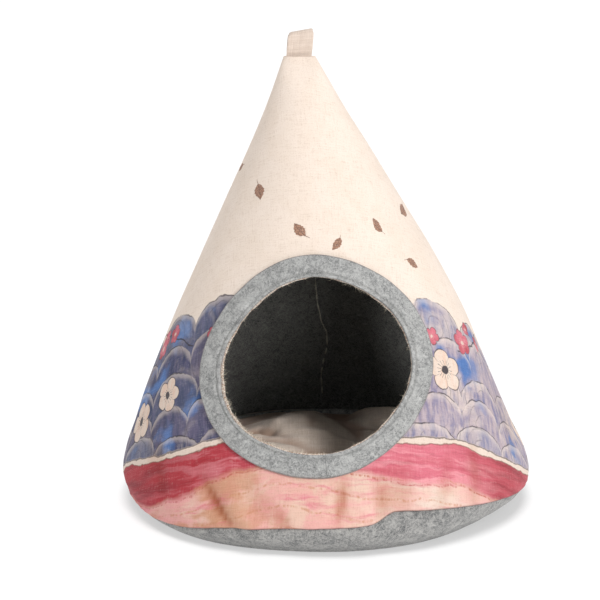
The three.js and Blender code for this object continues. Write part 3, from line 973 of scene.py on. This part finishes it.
class Field:
    def __init__(self, bench, socket):
        self.bench = bench
        self.socket = socket

    def __add__(self, other):
        return self.bench.math("ADD", self, other)

    def __sub__(self, other):
        return self.bench.math("SUBTRACT", self, other)

    def __rsub__(self, other):
        return self.bench.math("SUBTRACT", other, self)

    def __mul__(self, other):
        return self.bench.math("MULTIPLY", self, other)

    def __truediv__(self, other):
        return self.bench.math("DIVIDE", self, other)

    def __rtruediv__(self, other):
        return self.bench.math("DIVIDE", other, self)

    def __pow__(self, other):
        return self.bench.math("POWER", self, other)

    def __abs__(self):
        return self.bench.math("ABSOLUTE", self)

    __radd__ = __add__


def linear(red, green, blue):
    # a screen colour from 0 to 255 as the shaders' linear light
    shares = np.array([red, green, blue]) / 255
    light = np.where(shares <= 0.04045, shares / 12.92, ((shares + 0.055) / 1.055) ** 2.4)
    return (*light.tolist(), 1.0)


class Bench:
    # a node tree with short ways to add nodes to it
    def __init__(self, tree):
        self.tree = tree

    def plug(self, value, socket):
        if isinstance(value, Field):
            self.tree.links.new(value.socket, socket)
        else:
            socket.default_value = value

    def node(self, kind, inputs, output=0, **settings):
        made = self.tree.nodes.new("ShaderNode" + kind)
        for key, value in settings.items():
            setattr(made, key, value)
        for key, value in inputs.items():
            self.plug(value, made.inputs[key])
        return Field(self, made.outputs[output])

    def math(self, operation, *values):
        return self.node("Math", dict(enumerate(values)), operation=operation)

    def sine(self, value):
        return self.math("SINE", value)

    def cosine(self, value):
        return self.math("COSINE", value)

    def step(self, start, end, value):
        # 0 at start, 1 at end, smooth between them; either may be the lower
        return self.node("MapRange", {"Value": value, "From Min": start, "From Max": end},
                         interpolation_type="SMOOTHSTEP")

    def vector(self, x, y, z=0.0):
        return self.node("CombineXYZ", {"X": x, "Y": y, "Z": z})

    def parts(self, vector):
        made = self.node("SeparateXYZ", {"Vector": vector}).socket.node
        return Field(self, made.outputs["X"]), Field(self, made.outputs["Y"])

    def noise(self, vector, scale, detail=2.0, rough=0.5, twist=0.0):
        return self.node("TexNoise", {"Vector": vector, "Scale": scale, "Detail": detail,
                                      "Roughness": rough, "Distortion": twist}, "Fac")

    def cellNoise(self, x, y, z):
        return self.node("TexWhiteNoise", {"Vector": self.vector(x, y, z)}, "Value", noise_dimensions="3D")

    def attribute(self, name):
        return self.node("Attribute", {}, "Fac", attribute_name=name)

    def blend(self, share, a, b, kind="MIX"):
        # plain colours are given as on a screen, from 0 to 255
        a, b = [linear(*x) if isinstance(x, tuple) else x for x in (a, b)]
        return self.node("Mix", {0: share, 6: a, 7: b}, 2, data_type="RGBA", blend_type=kind,
                         clamp_factor=True)

    def coats(self, colour, *coats):
        # coats of paint, each with the share of it that covers
        for share, paint in coats:
            colour = self.blend(share, colour, paint)
        return colour

    def group(self, name, inputs):
        made = self.tree.nodes.new("ShaderNodeGroup")
        made.node_tree = groups[name]
        for key, value in inputs.items():
            self.plug(value, made.inputs[key])
        return {s.name: Field(self, s) for s in made.outputs}

    def give(self, values):
        # makes a group's named outputs
        for key in values:
            self.tree.interface.new_socket(name=key, in_out="OUTPUT", socket_type="NodeSocketFloat")
        leave = self.tree.nodes.new("NodeGroupOutput")
        for key, value in values.items():
            self.plug(value, leave.inputs[key])
        return self.tree


def newGroup(name, inputs):
    # a shader group with named inputs: a vector, or a number with its first value
    tree = bpy.data.node_groups.new(name, "ShaderNodeTree")
    for key, value in inputs.items():
        kind = "NodeSocketVector" if value == "vector" else "NodeSocketFloat"
        socket = tree.interface.new_socket(name=key, in_out="INPUT", socket_type=kind)
        if value != "vector":
            socket.default_value = value
    bench = Bench(tree)
    enter = tree.nodes.new("NodeGroupInput")
    return bench, {s.name: Field(bench, s) for s in enter.outputs if s.name}


def weaveGroup():
    # plain weave: threads cross over and under, each a little different, with thick slubs
    b, given = newGroup("plainWeave", {"Vector": "vector", "Pitch": 1.0, "Slubs": 0.5})
    x, y = b.parts(given["Vector"])
    bend = (b.noise(given["Vector"], 0.05, 2) - 0.5) * 1.6
    across, along = (x + bend) / given["Pitch"], (y + bend) / given["Pitch"]
    warpSwing, weftSwing = b.sine(across * math.pi), b.sine(along * math.pi)
    warp, weft = abs(warpSwing), abs(weftSwing)
    over = b.step(-0.35, 0.35, warpSwing * weftSwing)
    warpNumber, weftNumber = b.math("FLOOR", across), b.math("FLOOR", along)
    warpSlub = b.noise(b.vector(warpNumber * 3.7, along * 0.05), 1.0, 1)
    weftSlub = b.noise(b.vector(weftNumber * 3.7, across * 0.05, 5.0), 1.0, 1)
    thick = (b.step(0.52, 0.72, warpSlub) + b.step(0.52, 0.72, weftSlub)) * given["Slubs"]
    tone = b.cellNoise(warpNumber, 3.0, 0.0) * (1 - over) + b.cellNoise(weftNumber, 7.0, 1.0) * over
    lying = b.noise(b.vector(x * 0.07, y * 0.75, 3.0), 1.0, 3, 0.65)
    upright = b.noise(b.vector(x * 0.75, y * 0.07, 8.0), 1.0, 3, 0.65)
    return b.give({"Height": warp * (1 - over) + weft * over + thick * 0.6, "Tone": tone * 0.6 + thick * 0.4,
                   "Gap": (1 - warp) * (1 - weft), "Streaks": (lying + upright) * 0.5})


def feltGroup():
    # pressed felt: cloudy patches, and fine fibres as thin lines where warped noise crosses its middle
    b, given = newGroup("pressedFelt", {"Vector": "vector", "Cloud": 9.0, "Fibre": 3.0})
    at = given["Vector"]
    cloud = b.noise(at, 1.0 / given["Cloud"], 4, 0.6, 0.4)
    tuft = b.noise(at, 0.62 / given["Fibre"], 3, 0.72, 1.6)
    grain = b.noise(at, 2.4 / given["Fibre"], 2, 0.7)
    thin = []
    for seed, scale in ((0.0, 0.36), (31.0, 0.5), (67.0, 0.27)):
        place = b.node("VectorMath", {0: at, 1: (seed, seed * 0.7, -seed)}, operation="ADD")
        line = b.noise(place, scale / given["Fibre"], 1.5, 0.55, 2.6)
        thin.append(1 - b.step(0.0, 0.03, abs(line - 0.5)))
    fibres = b.math("MAXIMUM", b.math("MAXIMUM", thin[0], thin[1]), thin[2])
    return b.give({"Height": cloud * 0.3 + tuft * 0.6 + grain * 0.3 + fibres * 0.3,
                   "Tone": cloud * 0.3 + tuft * 0.52 + grain * 0.18, "Fibres": fibres})


def scattered(b, given):
    # one motif in each stretch of a row: its place, size and turn swing with the stretch's number
    x, y = b.parts(given["Vector"])
    number = b.math("FLOOR", x / given["Pitch"])

    def swing(pace, shift):
        return b.sine(number * pace + (given["Seed"] + shift))

    middle = (number + 0.5 + swing(2.4, 0.0) * 0.26) * given["Pitch"]
    size = (1 + swing(5.1, 1.0) * 0.2) * given["Size"]
    dx = (x - middle) / size
    dy = (y - given["Row"] - swing(3.9, 2.0) * given["Spread"]) / size
    shown = b.step(-0.01, 0.01, swing(7.3, 4.0) + given["Share"] * 2 - 1)
    return dx, dy, number * 1.9 + given["Seed"], size, shown


rowInputs = {"Vector": "vector", "Row": -300.0, "Spread": 10.0, "Pitch": 100.0, "Size": 18.0,
             "Seed": 0.0, "Share": 1.0}


def blossomGroup():
    # five petals round a dark heart; the radius of the outline swells and narrows with the turn
    b, given = newGroup("blossomRow", rowInputs)
    dx, dy, turn, size, shown = scattered(b, given)
    radius = b.math("SQRT", dx * dx + dy * dy)
    turn = b.math("ARCTAN2", dy, dx) + turn
    lobe = abs(b.cosine(turn * 2.5))
    away = (radius - ((lobe ** 0.55) * 0.34 + 0.66)) * size
    petals = b.step(0.5, -0.5, away) * shown
    rays = b.step(0.965, 0.995, abs(b.cosine(turn * 7.5)))
    rays = rays * b.step(0.2, 0.24, radius) * b.step(0.46, 0.4, radius)
    folds = b.step(0.08, 0.02, lobe) * b.step(0.3, 0.5, radius) * petals
    outline = b.step(0.8, 0.25, abs(away))
    return b.give({"Petals": petals, "Heart": b.math("MAXIMUM", b.step(0.23, 0.17, radius), rays) * shown,
                   "Ink": b.math("MAXIMUM", outline, folds * 0.6) * shown})


def leafGroup():
    # a pointed leaf with a stem, a midrib and slanting veins
    b, given = newGroup("leafRow", rowInputs)
    dx, dy, turn, _, shown = scattered(b, given)
    cosine, sine = b.cosine(turn), b.sine(turn)
    along = dx * cosine + dy * sine
    away = abs(dy * cosine - dx * sine + along * along * 0.14)
    half = (1 - along * along) * (0.6 - along * 0.14)
    lobed = half * (b.sine(along * 17.0) * 0.07 + 1)
    body = b.step(0.05, -0.02, away - lobed) * b.step(1.02, 1.0, abs(along))
    stem = b.step(0.06, 0.02, away) * b.step(-1.55, -1.5, along) * b.step(-0.9, -1, along)
    veins = b.step(0.03, 0.0, b.math("PINGPONG", along - away * 0.9, 0.16)) * 0.6
    return b.give({"Leaf": b.math("MAXIMUM", body, stem) * shown,
                   "Veins": b.math("MAXIMUM", b.step(0.05, 0.015, away), veins) * body * shown})


def hillGroup():
    # a row of round hills: half ellipses side by side, each a little higher or lower, with
    # faint rings round their middles
    b, given = newGroup("waveHills", {"Vector": "vector", "Top": -300.0, "Width": 60.0, "Rise": 24.0,
                                      "Shift": 0.0, "Row": 0.0})
    x, y = b.parts(given["Vector"])
    along = (x - given["Shift"]) / given["Width"]
    number = b.math("FLOOR", along)
    own = b.cellNoise(number, given["Row"], 4.0)
    middle = along - number - 0.5
    foot = given["Top"] - given["Rise"]
    hump = b.math("SQRT", 1 - middle * middle * 3.9)
    below = hump * given["Rise"] + (own - 0.5) * 12 + foot - y
    away = middle * given["Width"] * 1.14
    rings = b.math("SQRT", away * away + (y - foot) * (y - foot))
    return b.give({"Body": b.step(-0.6, 0.6, below), "Line": b.step(1.1, 0.3, abs(below)),
                   "Rings": b.step(0.9, 0.3, b.math("PINGPONG", rings, 5.6)), "Below": below, "Own": own})


groups = {"weave": weaveGroup(), "felt": feltGroup(), "blossom": blossomGroup(), "leaf": leafGroup(),
          "hills": hillGroup()}


def newMaterial(name, rough):
    material = bpy.data.materials.new(name)
    material.use_nodes = True
    shader = material.node_tree.nodes["Principled BSDF"]
    shader.inputs["Specular IOR Level"].default_value = 0.25
    shader.inputs["Roughness"].default_value = rough
    return material, Bench(material.node_tree), shader


def inMillimetres(b, place):
    return b.node("VectorMath", {0: place, "Scale": 1 / mm}, operation="SCALE")


def panelPlace(b):
    # the cloth panel's own map
    return inMillimetres(b, b.node("UVMap", {}, uv_map="clothPanel"))


def objectPlace(b):
    return inMillimetres(b, b.node("TexCoord", {}, "Object"))


def finished(material, b, shader, colour, sheen, height, depth):
    b.plug(colour, shader.inputs["Base Color"])
    shader.inputs["Sheen Weight"].default_value = sheen
    bump = b.node("Bump", {"Height": height, "Strength": 1.0, "Distance": depth * mm})
    b.plug(bump, shader.inputs["Normal"])
    return material


# The print: generic washes, wave hills, blossoms and leaves in soft water colours

printColours = {
    "cloth": (241, 226, 213),
    "clothShade": (234, 217, 201),
    "ink": (52, 48, 58),
    "deepBlue": (34, 48, 90),
    "violet": (76, 76, 112),
    "lilac": (186, 170, 178),
    "lilacBlue": (130, 126, 156),
    "brightBlue": (70, 116, 180),
    "paleBlue": (160, 164, 182),
    "crimson": (178, 52, 62),
    "rose": (216, 116, 132),
    "peach": (230, 180, 166),
    "sand": (230, 198, 178),
    "ochre": (196, 134, 94),
    "blush": (240, 164, 172),
    "deepRed": (118, 34, 44),
    "brown": (112, 76, 60),
    "brownLight": (186, 138, 110),
    "creamPetal": (230, 212, 198),
}

printPlan = {
    # wave hills from the top row down: top edge, width and height of each hump, and shift
    "hills": table("top width rise shift", (-262, 74, 26, 10), (-292, 62, 24, 44), (-324, 70, 26, 8),
                   (-356, 58, 22, 30), (-384, 66, 20, 4)),
    # rows of motifs: their height, how far they stray from it, pitch, size, seed and share shown
    "leaves": table("row spread pitch size seed share", (-140, 22, 74, 8, 0.4, 0.8),
                    (-182, 16, 88, 7.8, 2.2, 0.7), (-218, 14, 66, 8.2, 4.1, 0.6)),
    "redBlossoms": table("row spread pitch size seed share", (-284, 14, 47, 9, 1.3, 0.6),
                         (-300, 16, 58, 11, 3.2, 0.5)),
    "creamBlossoms": table("row spread pitch size seed share", (-346, 20, 102, 19, 2.6, 1.0)),
    # dark stems: from one point to another, with the width between them
    "stems": table("x0 y0 x1 y1 wide", (-232, -262, -178, -282, 2.2), (-178, -282, -140, -302, 1.7),
                   (216, -266, 182, -292, 1.6), (182, -292, 150, -306, 1.2)),
}


def motifRows(b, kind, rows, drawn):
    for row, spread, pitch, size, seed, share in zip(*rows.values()):
        yield b.group(kind, {"Vector": drawn, "Row": row, "Spread": spread, "Pitch": pitch,
                             "Size": size, "Seed": seed, "Share": share})


def paintHills(b, colour, drawn, u, wobble, wash, streak):
    # wave hills, the nearer ones painted over the farther
    c = printColours
    leftness = b.step(110.0, -60.0, u + (wash - 0.5) * 120)
    left = b.blend(b.step(0.4, 0.6, streak), c["deepBlue"], c["violet"])
    right = b.blend(b.step(0.38, 0.6, streak), c["lilacBlue"], c["lilac"])
    bright = b.step(0.54, 0.68, b.noise(drawn, 0.02, 3, 0.5))
    faded = b.step(0.46, 0.66, wash) * (0.5 - leftness * 0.3)
    ground = b.coats(right, (leftness, left), (bright, c["brightBlue"]), (faded, c["clothShade"]))
    ringShare = b.step(0.42, 0.6, wash) * 0.35
    lineShare = b.step(0.35, 0.55, wobble) * 0.8
    for n, (top, width, rise, shift) in enumerate(zip(*printPlan["hills"].values())):
        hill = b.group("hills", {"Vector": drawn, "Top": top, "Width": width, "Rise": rise,
                                 "Shift": shift, "Row": float(n)})
        rim = b.step(9.0, 1.0, hill["Below"] + (wash - 0.5) * 14) * 0.38
        own = c["lilac"] if n % 2 else c["paleBlue"]
        rings = (hill["Rings"] * ringShare, c["ink"])
        paint = b.coats(ground, (hill["Own"] * 0.3, own), (rim, c["cloth"]), rings)
        colour = b.coats(colour, (hill["Body"], paint), (hill["Line"] * lineShare, c["ink"]))
    return colour


def paintStems(b, colour, u, v):
    for x0, y0, x1, y1, wide in zip(*printPlan["stems"].values()):
        length = math.hypot(x1 - x0, y1 - y0)
        dx, dy = (x1 - x0) / length, (y1 - y0) / length
        along = (u - x0) * dx + (v - y0) * dy
        across = abs((v - y0) * dx - (u - x0) * dy + b.sine(along * 0.21) * 1.4)
        inside = b.step(-1.0, 0.5, along) * b.step(length + 1, length - 0.5, along)
        colour = b.blend(b.step(0.3, -0.3, across - wide * 0.5) * inside * 0.9, colour, printColours["ink"])
    return colour


def paintBlossoms(b, colour, rows, drawn, petals, heart, shares):
    for flower in motifRows(b, "blossom", printPlan[rows], drawn):
        colour = b.coats(colour, (flower["Petals"] * shares[0], petals), (flower["Heart"] * shares[1], heart),
                         (flower["Ink"] * shares[2], printColours["ink"]))
    return colour


def paintBand(b, colour, u, v, wash):
    # a pale ribbon, the crimson band with its wavy edges, and the peach ground down to the hem
    c = printColours
    upper = v + b.sine(u * 0.031 + 0.6) * 4 + 402
    colour = b.coats(colour, (b.step(1.5, 0.0, upper), c["creamPetal"]),
                     (b.step(1.1, 0.4, abs(upper)) * 0.7, c["ink"]))
    band = upper + 6 + b.sine(u * 0.083) * 1.2
    redWash = b.noise(b.vector(u * 0.012, v * 0.09, 6.0), 1.0, 4, 0.6)
    redStreak = b.noise(b.vector(u * 0.022, v * 0.2, 4.0), 1.0, 4, 0.7)
    stroke = b.noise(b.vector(u * 0.011, (band + u * 0.05) * 0.075, 2.0), 1.0, 3, 0.6)
    ends = b.step(110.0, 205.0, abs(u))
    red = b.coats(b.blend(b.step(-130.0, 20.0, u), c["crimson"], c["rose"]),
                  (b.step(0.44, 0.7, redWash) * 0.35, c["crimson"]),
                  (b.step(0.48, 0.6, stroke) * (b.step(-120.0, 40.0, u) * 0.4 + 0.35), c["blush"]),
                  (b.step(0.5, 0.72, redStreak) * 0.3, c["blush"]),
                  (b.step(0.5, 0.25, redStreak) * 0.35, c["deepRed"]),
                  (ends * 0.7, c["crimson"]),
                  (ends * b.step(0.4, 0.7, redWash) * 0.6, c["deepRed"]))
    colour = b.coats(colour, (b.step(0.8, -0.8, band), red), (b.step(1.0, 0.3, abs(band)) * 0.6, c["brown"]))
    # pale and ochre washes, and thin broken contour lines
    drift = b.noise(b.vector(u * 0.02, 3.0, 6.0), 1.0, 2)
    lower = band + 29 + ends * 15 - b.sine(u * 0.024 + 2.1) * 6 + (drift - 0.5) * 24
    pale = b.step(0.48, 0.6, b.noise(b.vector(u * 0.016, v * 0.03, 9.0), 1.0, 3, 0.55))
    paleRight = b.step(10.0, 60.0, u) * (1 - ends)
    ground = b.coats(b.blend(b.step(0.35, 0.7, redStreak) * 0.55, c["peach"], c["blush"]),
                     (b.step(0.44, 0.62, wash) * 0.75, c["sand"]),
                     (paleRight * (pale * 0.5 + 0.35), c["creamPetal"]),
                     (pale * b.step(0.0, -110.0, u) * 0.7, c["ochre"]),
                     (b.step(0.5, 0.62, stroke) * b.step(0.35, 0.6, redStreak) * 0.6, c["rose"]),
                     (ends * 0.35, c["rose"]))
    contour = b.math("PINGPONG", lower + b.sine(u * 0.05) * 3, 10.0)
    broken = b.step(0.4, 0.6, b.noise(b.vector(u * 0.4, v * 0.05, 1.0), 1.0, 2))
    line = b.step(1.4, 0.4, contour) * broken * b.step(3.0, 0.0, lower)
    edge = b.step(1.2, 0.4, abs(lower + 3)) * broken
    return b.coats(colour, (b.step(4.0, -5.0, lower), ground), (line * 0.5, c["ochre"]),
                   (edge * 0.45, c["crimson"]))


def paintPrint(b, place):
    c = printColours
    wobble = b.noise(place, 0.045, 3, 0.55)
    wobbleAlso = b.noise(place, 0.06, 3, 0.55, 0.3)
    u, v = b.parts(place)
    u, v = u + (wobble - 0.5) * 7, v + (wobbleAlso - 0.5) * 8
    drawn = b.vector(u, v)
    wash = b.noise(place, 0.03, 4, 0.62, 0.7)
    streak = b.noise(b.vector(u * 0.16, v * 0.035, 2.0), 1.0, 4, 0.6)
    speck = b.noise(place, 0.7, 3, 0.7)
    colour = b.blend(b.step(0.35, 0.7, wash) * 0.55, c["cloth"], c["clothShade"])
    brown = b.blend(b.step(0.4, 0.62, speck), c["brown"], c["brownLight"])
    for leaf in motifRows(b, "leaf", printPlan["leaves"], drawn):
        colour = b.coats(colour, (leaf["Leaf"] * 0.92, brown), (leaf["Veins"] * 0.5, c["ink"]))
    colour = paintHills(b, colour, drawn, u, wobble, wash, streak)
    colour = paintStems(b, colour, u, v)
    red = b.blend(b.step(0.35, 0.65, wash), c["crimson"], c["rose"])
    colour = paintBlossoms(b, colour, "redBlossoms", drawn, red, c["creamPetal"], (0.95, 0.8, 0.55))
    cream = b.blend(b.step(0.4, 0.7, streak), c["creamPetal"], c["sand"])
    colour = paintBlossoms(b, colour, "creamBlossoms", drawn, cream, c["ink"], (1.0, 0.95, 0.85))
    return paintBand(b, colour, u, v, wash), speck


def printedCloth():
    material, b, shader = newMaterial("printedCloth", 0.9)
    place = panelPlace(b)
    colour, speck = paintPrint(b, place)
    weave = b.group("weave", {"Vector": place, "Pitch": 0.95, "Slubs": 0.8})
    colour = b.blend(b.step(0.5, 0.72, speck) * 0.3, colour, (200, 184, 170), "MULTIPLY")
    # painted warm shade in the creases, a painted shadow along the hem seam and a dark line down the back
    # seam, and the bare cut edge
    colour = b.blend(b.attribute("hollowShade") * 0.85, colour, (196, 146, 110), "MULTIPLY")
    threads = b.blend(b.step(0.4, 0.58, speck), (178, 142, 116), (240, 232, 220))
    colour = b.coats(colour, (b.attribute("hemShadowAndSeamLine") * 0.8, (96, 70, 66)), (b.attribute("rawEdge"), threads))
    colour = b.blend(weave["Gap"] * 0.3, colour, printColours["clothShade"], "MULTIPLY")
    colour = b.blend(b.step(0.5, 0.66, weave["Streaks"]) * 0.38, colour, (214, 202, 192), "MULTIPLY")
    colour = b.blend(b.step(0.49, 0.34, weave["Streaks"]) * 0.1, colour, (250, 244, 236))
    return finished(material, b, shader, colour, 0.12, weave["Height"] + weave["Streaks"] * 1.5, 0.2)


def plainCloth(name, light, dark, pitch, depth, place=panelPlace, hollowShade=None):
    material, b, shader = newMaterial(name, 0.92)
    at = place(b)
    weave = b.group("weave", {"Vector": at, "Pitch": pitch, "Slubs": 0.3})
    cloud = b.noise(at, 0.03, 3, 0.6)
    share = weave["Tone"] * 0.3 + weave["Streaks"] * 0.7 - 0.02
    colour = b.blend(b.step(0.25, 0.62, share), dark, light)
    colour = b.blend(b.step(0.35, 0.7, cloud) * 0.25, colour, dark)
    colour = b.blend(weave["Gap"] * 0.5, colour, dark, "MULTIPLY")
    # painted shade in the folds, in the given shade colour
    if hollowShade is not None:
        colour = b.blend(b.attribute("hollowShade") * 0.8, colour, hollowShade)
    return finished(material, b, shader, colour, 0.15, weave["Height"], depth)


def feltMaterial(name, dark, light, fibre, cloud, fibreSize, fibreShare, depth, outerEdgeShade=None):
    material, b, shader = newMaterial(name, 0.97)
    felt = b.group("felt", {"Vector": objectPlace(b), "Cloud": cloud, "Fibre": fibreSize})
    colour = b.blend(b.step(0.36, 0.66, felt["Tone"]), dark, light)
    colour = b.blend(felt["Fibres"] * fibreShare, colour, fibre)
    # painted shade along the edge that the attribute marks
    if outerEdgeShade is not None:
        colour = b.blend(b.attribute("outerEdgeShade") * 0.6, colour, outerEdgeShade)
    shader.inputs["Sheen Roughness"].default_value = 0.6
    return finished(material, b, shader, colour, 0.25, felt["Height"], depth)


def threadMaterial(name, colour, shade):
    material, b, shader = newMaterial(name, 0.8)
    tone = b.noise(objectPlace(b), 1.1, 2)
    b.plug(b.blend(b.step(0.35, 0.65, tone), colour, shade), shader.inputs["Base Color"])
    return material


looks = {
    "cover": printedCloth(),
    "lining": feltMaterial("charcoalFelt", (40, 40, 38), (84, 84, 80), (140, 140, 134),
                           cloud=12, fibreSize=3.2, fibreShare=0.35, depth=0.5),
    # the ring's outer edge gets a painted shade
    "ring": feltMaterial("paleFelt", (104, 105, 105), (178, 178, 176), (206, 205, 202),
                         cloud=13, fibreSize=3, fibreShare=0.4, depth=0.35, outerEdgeShade=(112, 102, 98)),
    "base": feltMaterial("baseFelt", (84, 86, 87), (166, 164, 161), (198, 195, 190),
                         cloud=13, fibreSize=3.4, fibreShare=0.4, depth=0.45),
    # the cushion gets a painted warm shade in its folds
    "cushion": plainCloth("cushionCloth", (194, 178, 163), (164, 147, 133), pitch=1.15, depth=0.3,
                          place=objectPlace, hollowShade=(132, 102, 82)),
    "loop": plainCloth("loopCloth", (229, 213, 200), (204, 186, 172), pitch=0.9, depth=0.14),
    "stitches": threadMaterial("greyThread", (166, 166, 163), (140, 140, 138)),
    "seam": threadMaterial("seamThread", (176, 172, 158), (112, 110, 102)),
    "frays": threadMaterial("creamThread", (240, 230, 212), (220, 204, 180)),
}
print("materials: made")


def dressed(piece, look):
    piece.data.materials.clear()
    piece.data.materials.append(looks[look])
    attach(piece, "root")
    return piece


cover = dressed(makeCover(), "cover")
print("cover:", len(cover.data.polygons), "cells")
lining = dressed(makeLining(), "lining")
seam = dressed(makeBackSeam(), "seam")
print("lining:", len(lining.data.polygons), "cells")
ring = dressed(makeRing(), "ring")
stitches = dressed(makeRingStitches(), "stitches")
fray = dressed(makeFrays(), "frays")
print("ring: made")
base = dressed(makeBase(), "base")
loop = dressed(makeLoop(), "loop")
cushion = dressed(makeCushion(), "cushion")
print("cushion:", len(cushion.data.polygons), "cells")


# Camera, floor and lights

studio = {
    "elevation": 13,
    "distance": 1.9,
    "target": (-0.022, 0, 0.201),
    "lens": 114,
    "floor": linear(170, 170, 170),
    "floorHalf": 12,      # half its width, in metres
    "floorGlow": 0.47,    # a white table lit from below, so that the ground stays white
    "overhead": {"power": 2.6, "tilt": 17, "spread": 26},    # it reaches the table alone
    "world": 0.72,
    "key": {"place": (1.5, -2.1, 1.5), "size": 0.7, "power": 46},
    "back": {"place": (-1.2, 2.2, 1.9), "size": 1.5, "power": 12},
    # these reach the den alone, as a lamp at the entrance would
    "doorHigh": {"place": (1.45, -2.1, 1.56), "size": 0.5, "power": 108},
    "doorRight": {"place": (0.9, -2.2, 0.36), "size": 0.75, "power": 25},
    "doorLeft": {"place": (-1.5, -2.0, 0.5), "size": 0.75, "power": 75},
}


def makeCamera():
    data = bpy.data.cameras.new("camera")
    data.sensor_width = 36
    data.lens = studio["lens"]
    data.clip_start, data.clip_end = 0.05, 50
    camera = placed("camera", data)
    tilt = math.radians(studio["elevation"])
    back = Vector((0, -math.cos(tilt), math.sin(tilt)))
    camera.location = Vector(studio["target"]) + back * studio["distance"]
    camera.rotation_euler = (math.pi / 2 - tilt, 0, 0)
    bpy.context.scene.camera = camera


def makeFloor():
    half = studio["floorHalf"]
    mesh = bpy.data.meshes.new("studioFloor")
    corners = [(-half, -half, 0), (half, -half, 0), (half, half, 0), (-half, half, 0)]
    mesh.from_pydata(corners, [], [(0, 1, 2, 3)])
    floor = placed("studioFloor", mesh)
    material, _, shader = newMaterial("floorPaint", 0.85)
    shader.inputs["Base Color"].default_value = studio["floor"]
    shader.inputs["Emission Color"].default_value = (1, 1, 1, 1)
    shader.inputs["Emission Strength"].default_value = studio["floorGlow"]
    mesh.materials.append(material)
    return floor


def makeLight(name, spec):
    data = bpy.data.lights.new(name, "AREA")
    data.size, data.energy = spec["size"], spec["power"]
    light = placed(name, data)
    light.location = spec["place"]
    light.visible_camera = False
    aim = Vector(studio["target"]) - light.location
    light.rotation_euler = aim.to_track_quat("-Z", "Y").to_euler()
    return light


def litAlone(light, pieces):
    # the lamp reaches these pieces alone, while all pieces cast its shadow
    reached = bpy.data.collections.new(light.name + "Pieces")
    for piece in pieces:
        reached.objects.link(piece)
    light.light_linking.receiver_collection = reached


def makeOverhead(floor):
    spec = studio["overhead"]
    data = bpy.data.lights.new("overhead", "SUN")
    data.energy, data.angle = spec["power"], math.radians(spec["spread"])
    light = placed("overhead", data)
    light.rotation_euler = (math.radians(spec["tilt"]), 0, 0)
    litAlone(light, [floor])


makeCamera()
makeOverhead(makeFloor())
everything = (cover, lining, ring, stitches, fray, base, loop, cushion, seam)
den = (lining, cushion, seam)
lit = {"key": everything, "doorHigh": den, "back": everything, "doorRight": den, "doorLeft": den}
for name, pieces in lit.items():
    litAlone(makeLight(name, studio[name]), pieces)
# the cloth's own colours, as a shop picture shows them
bpy.context.scene.view_settings.view_transform = "Standard"
world = bpy.data.worlds.new("studioAir")
world.use_nodes = True
world.node_tree.nodes["Background"].inputs["Color"].default_value = (1, 1, 1, 1)
world.node_tree.nodes["Background"].inputs["Strength"].default_value = studio["world"]
bpy.context.scene.world = world
print("studio: made")
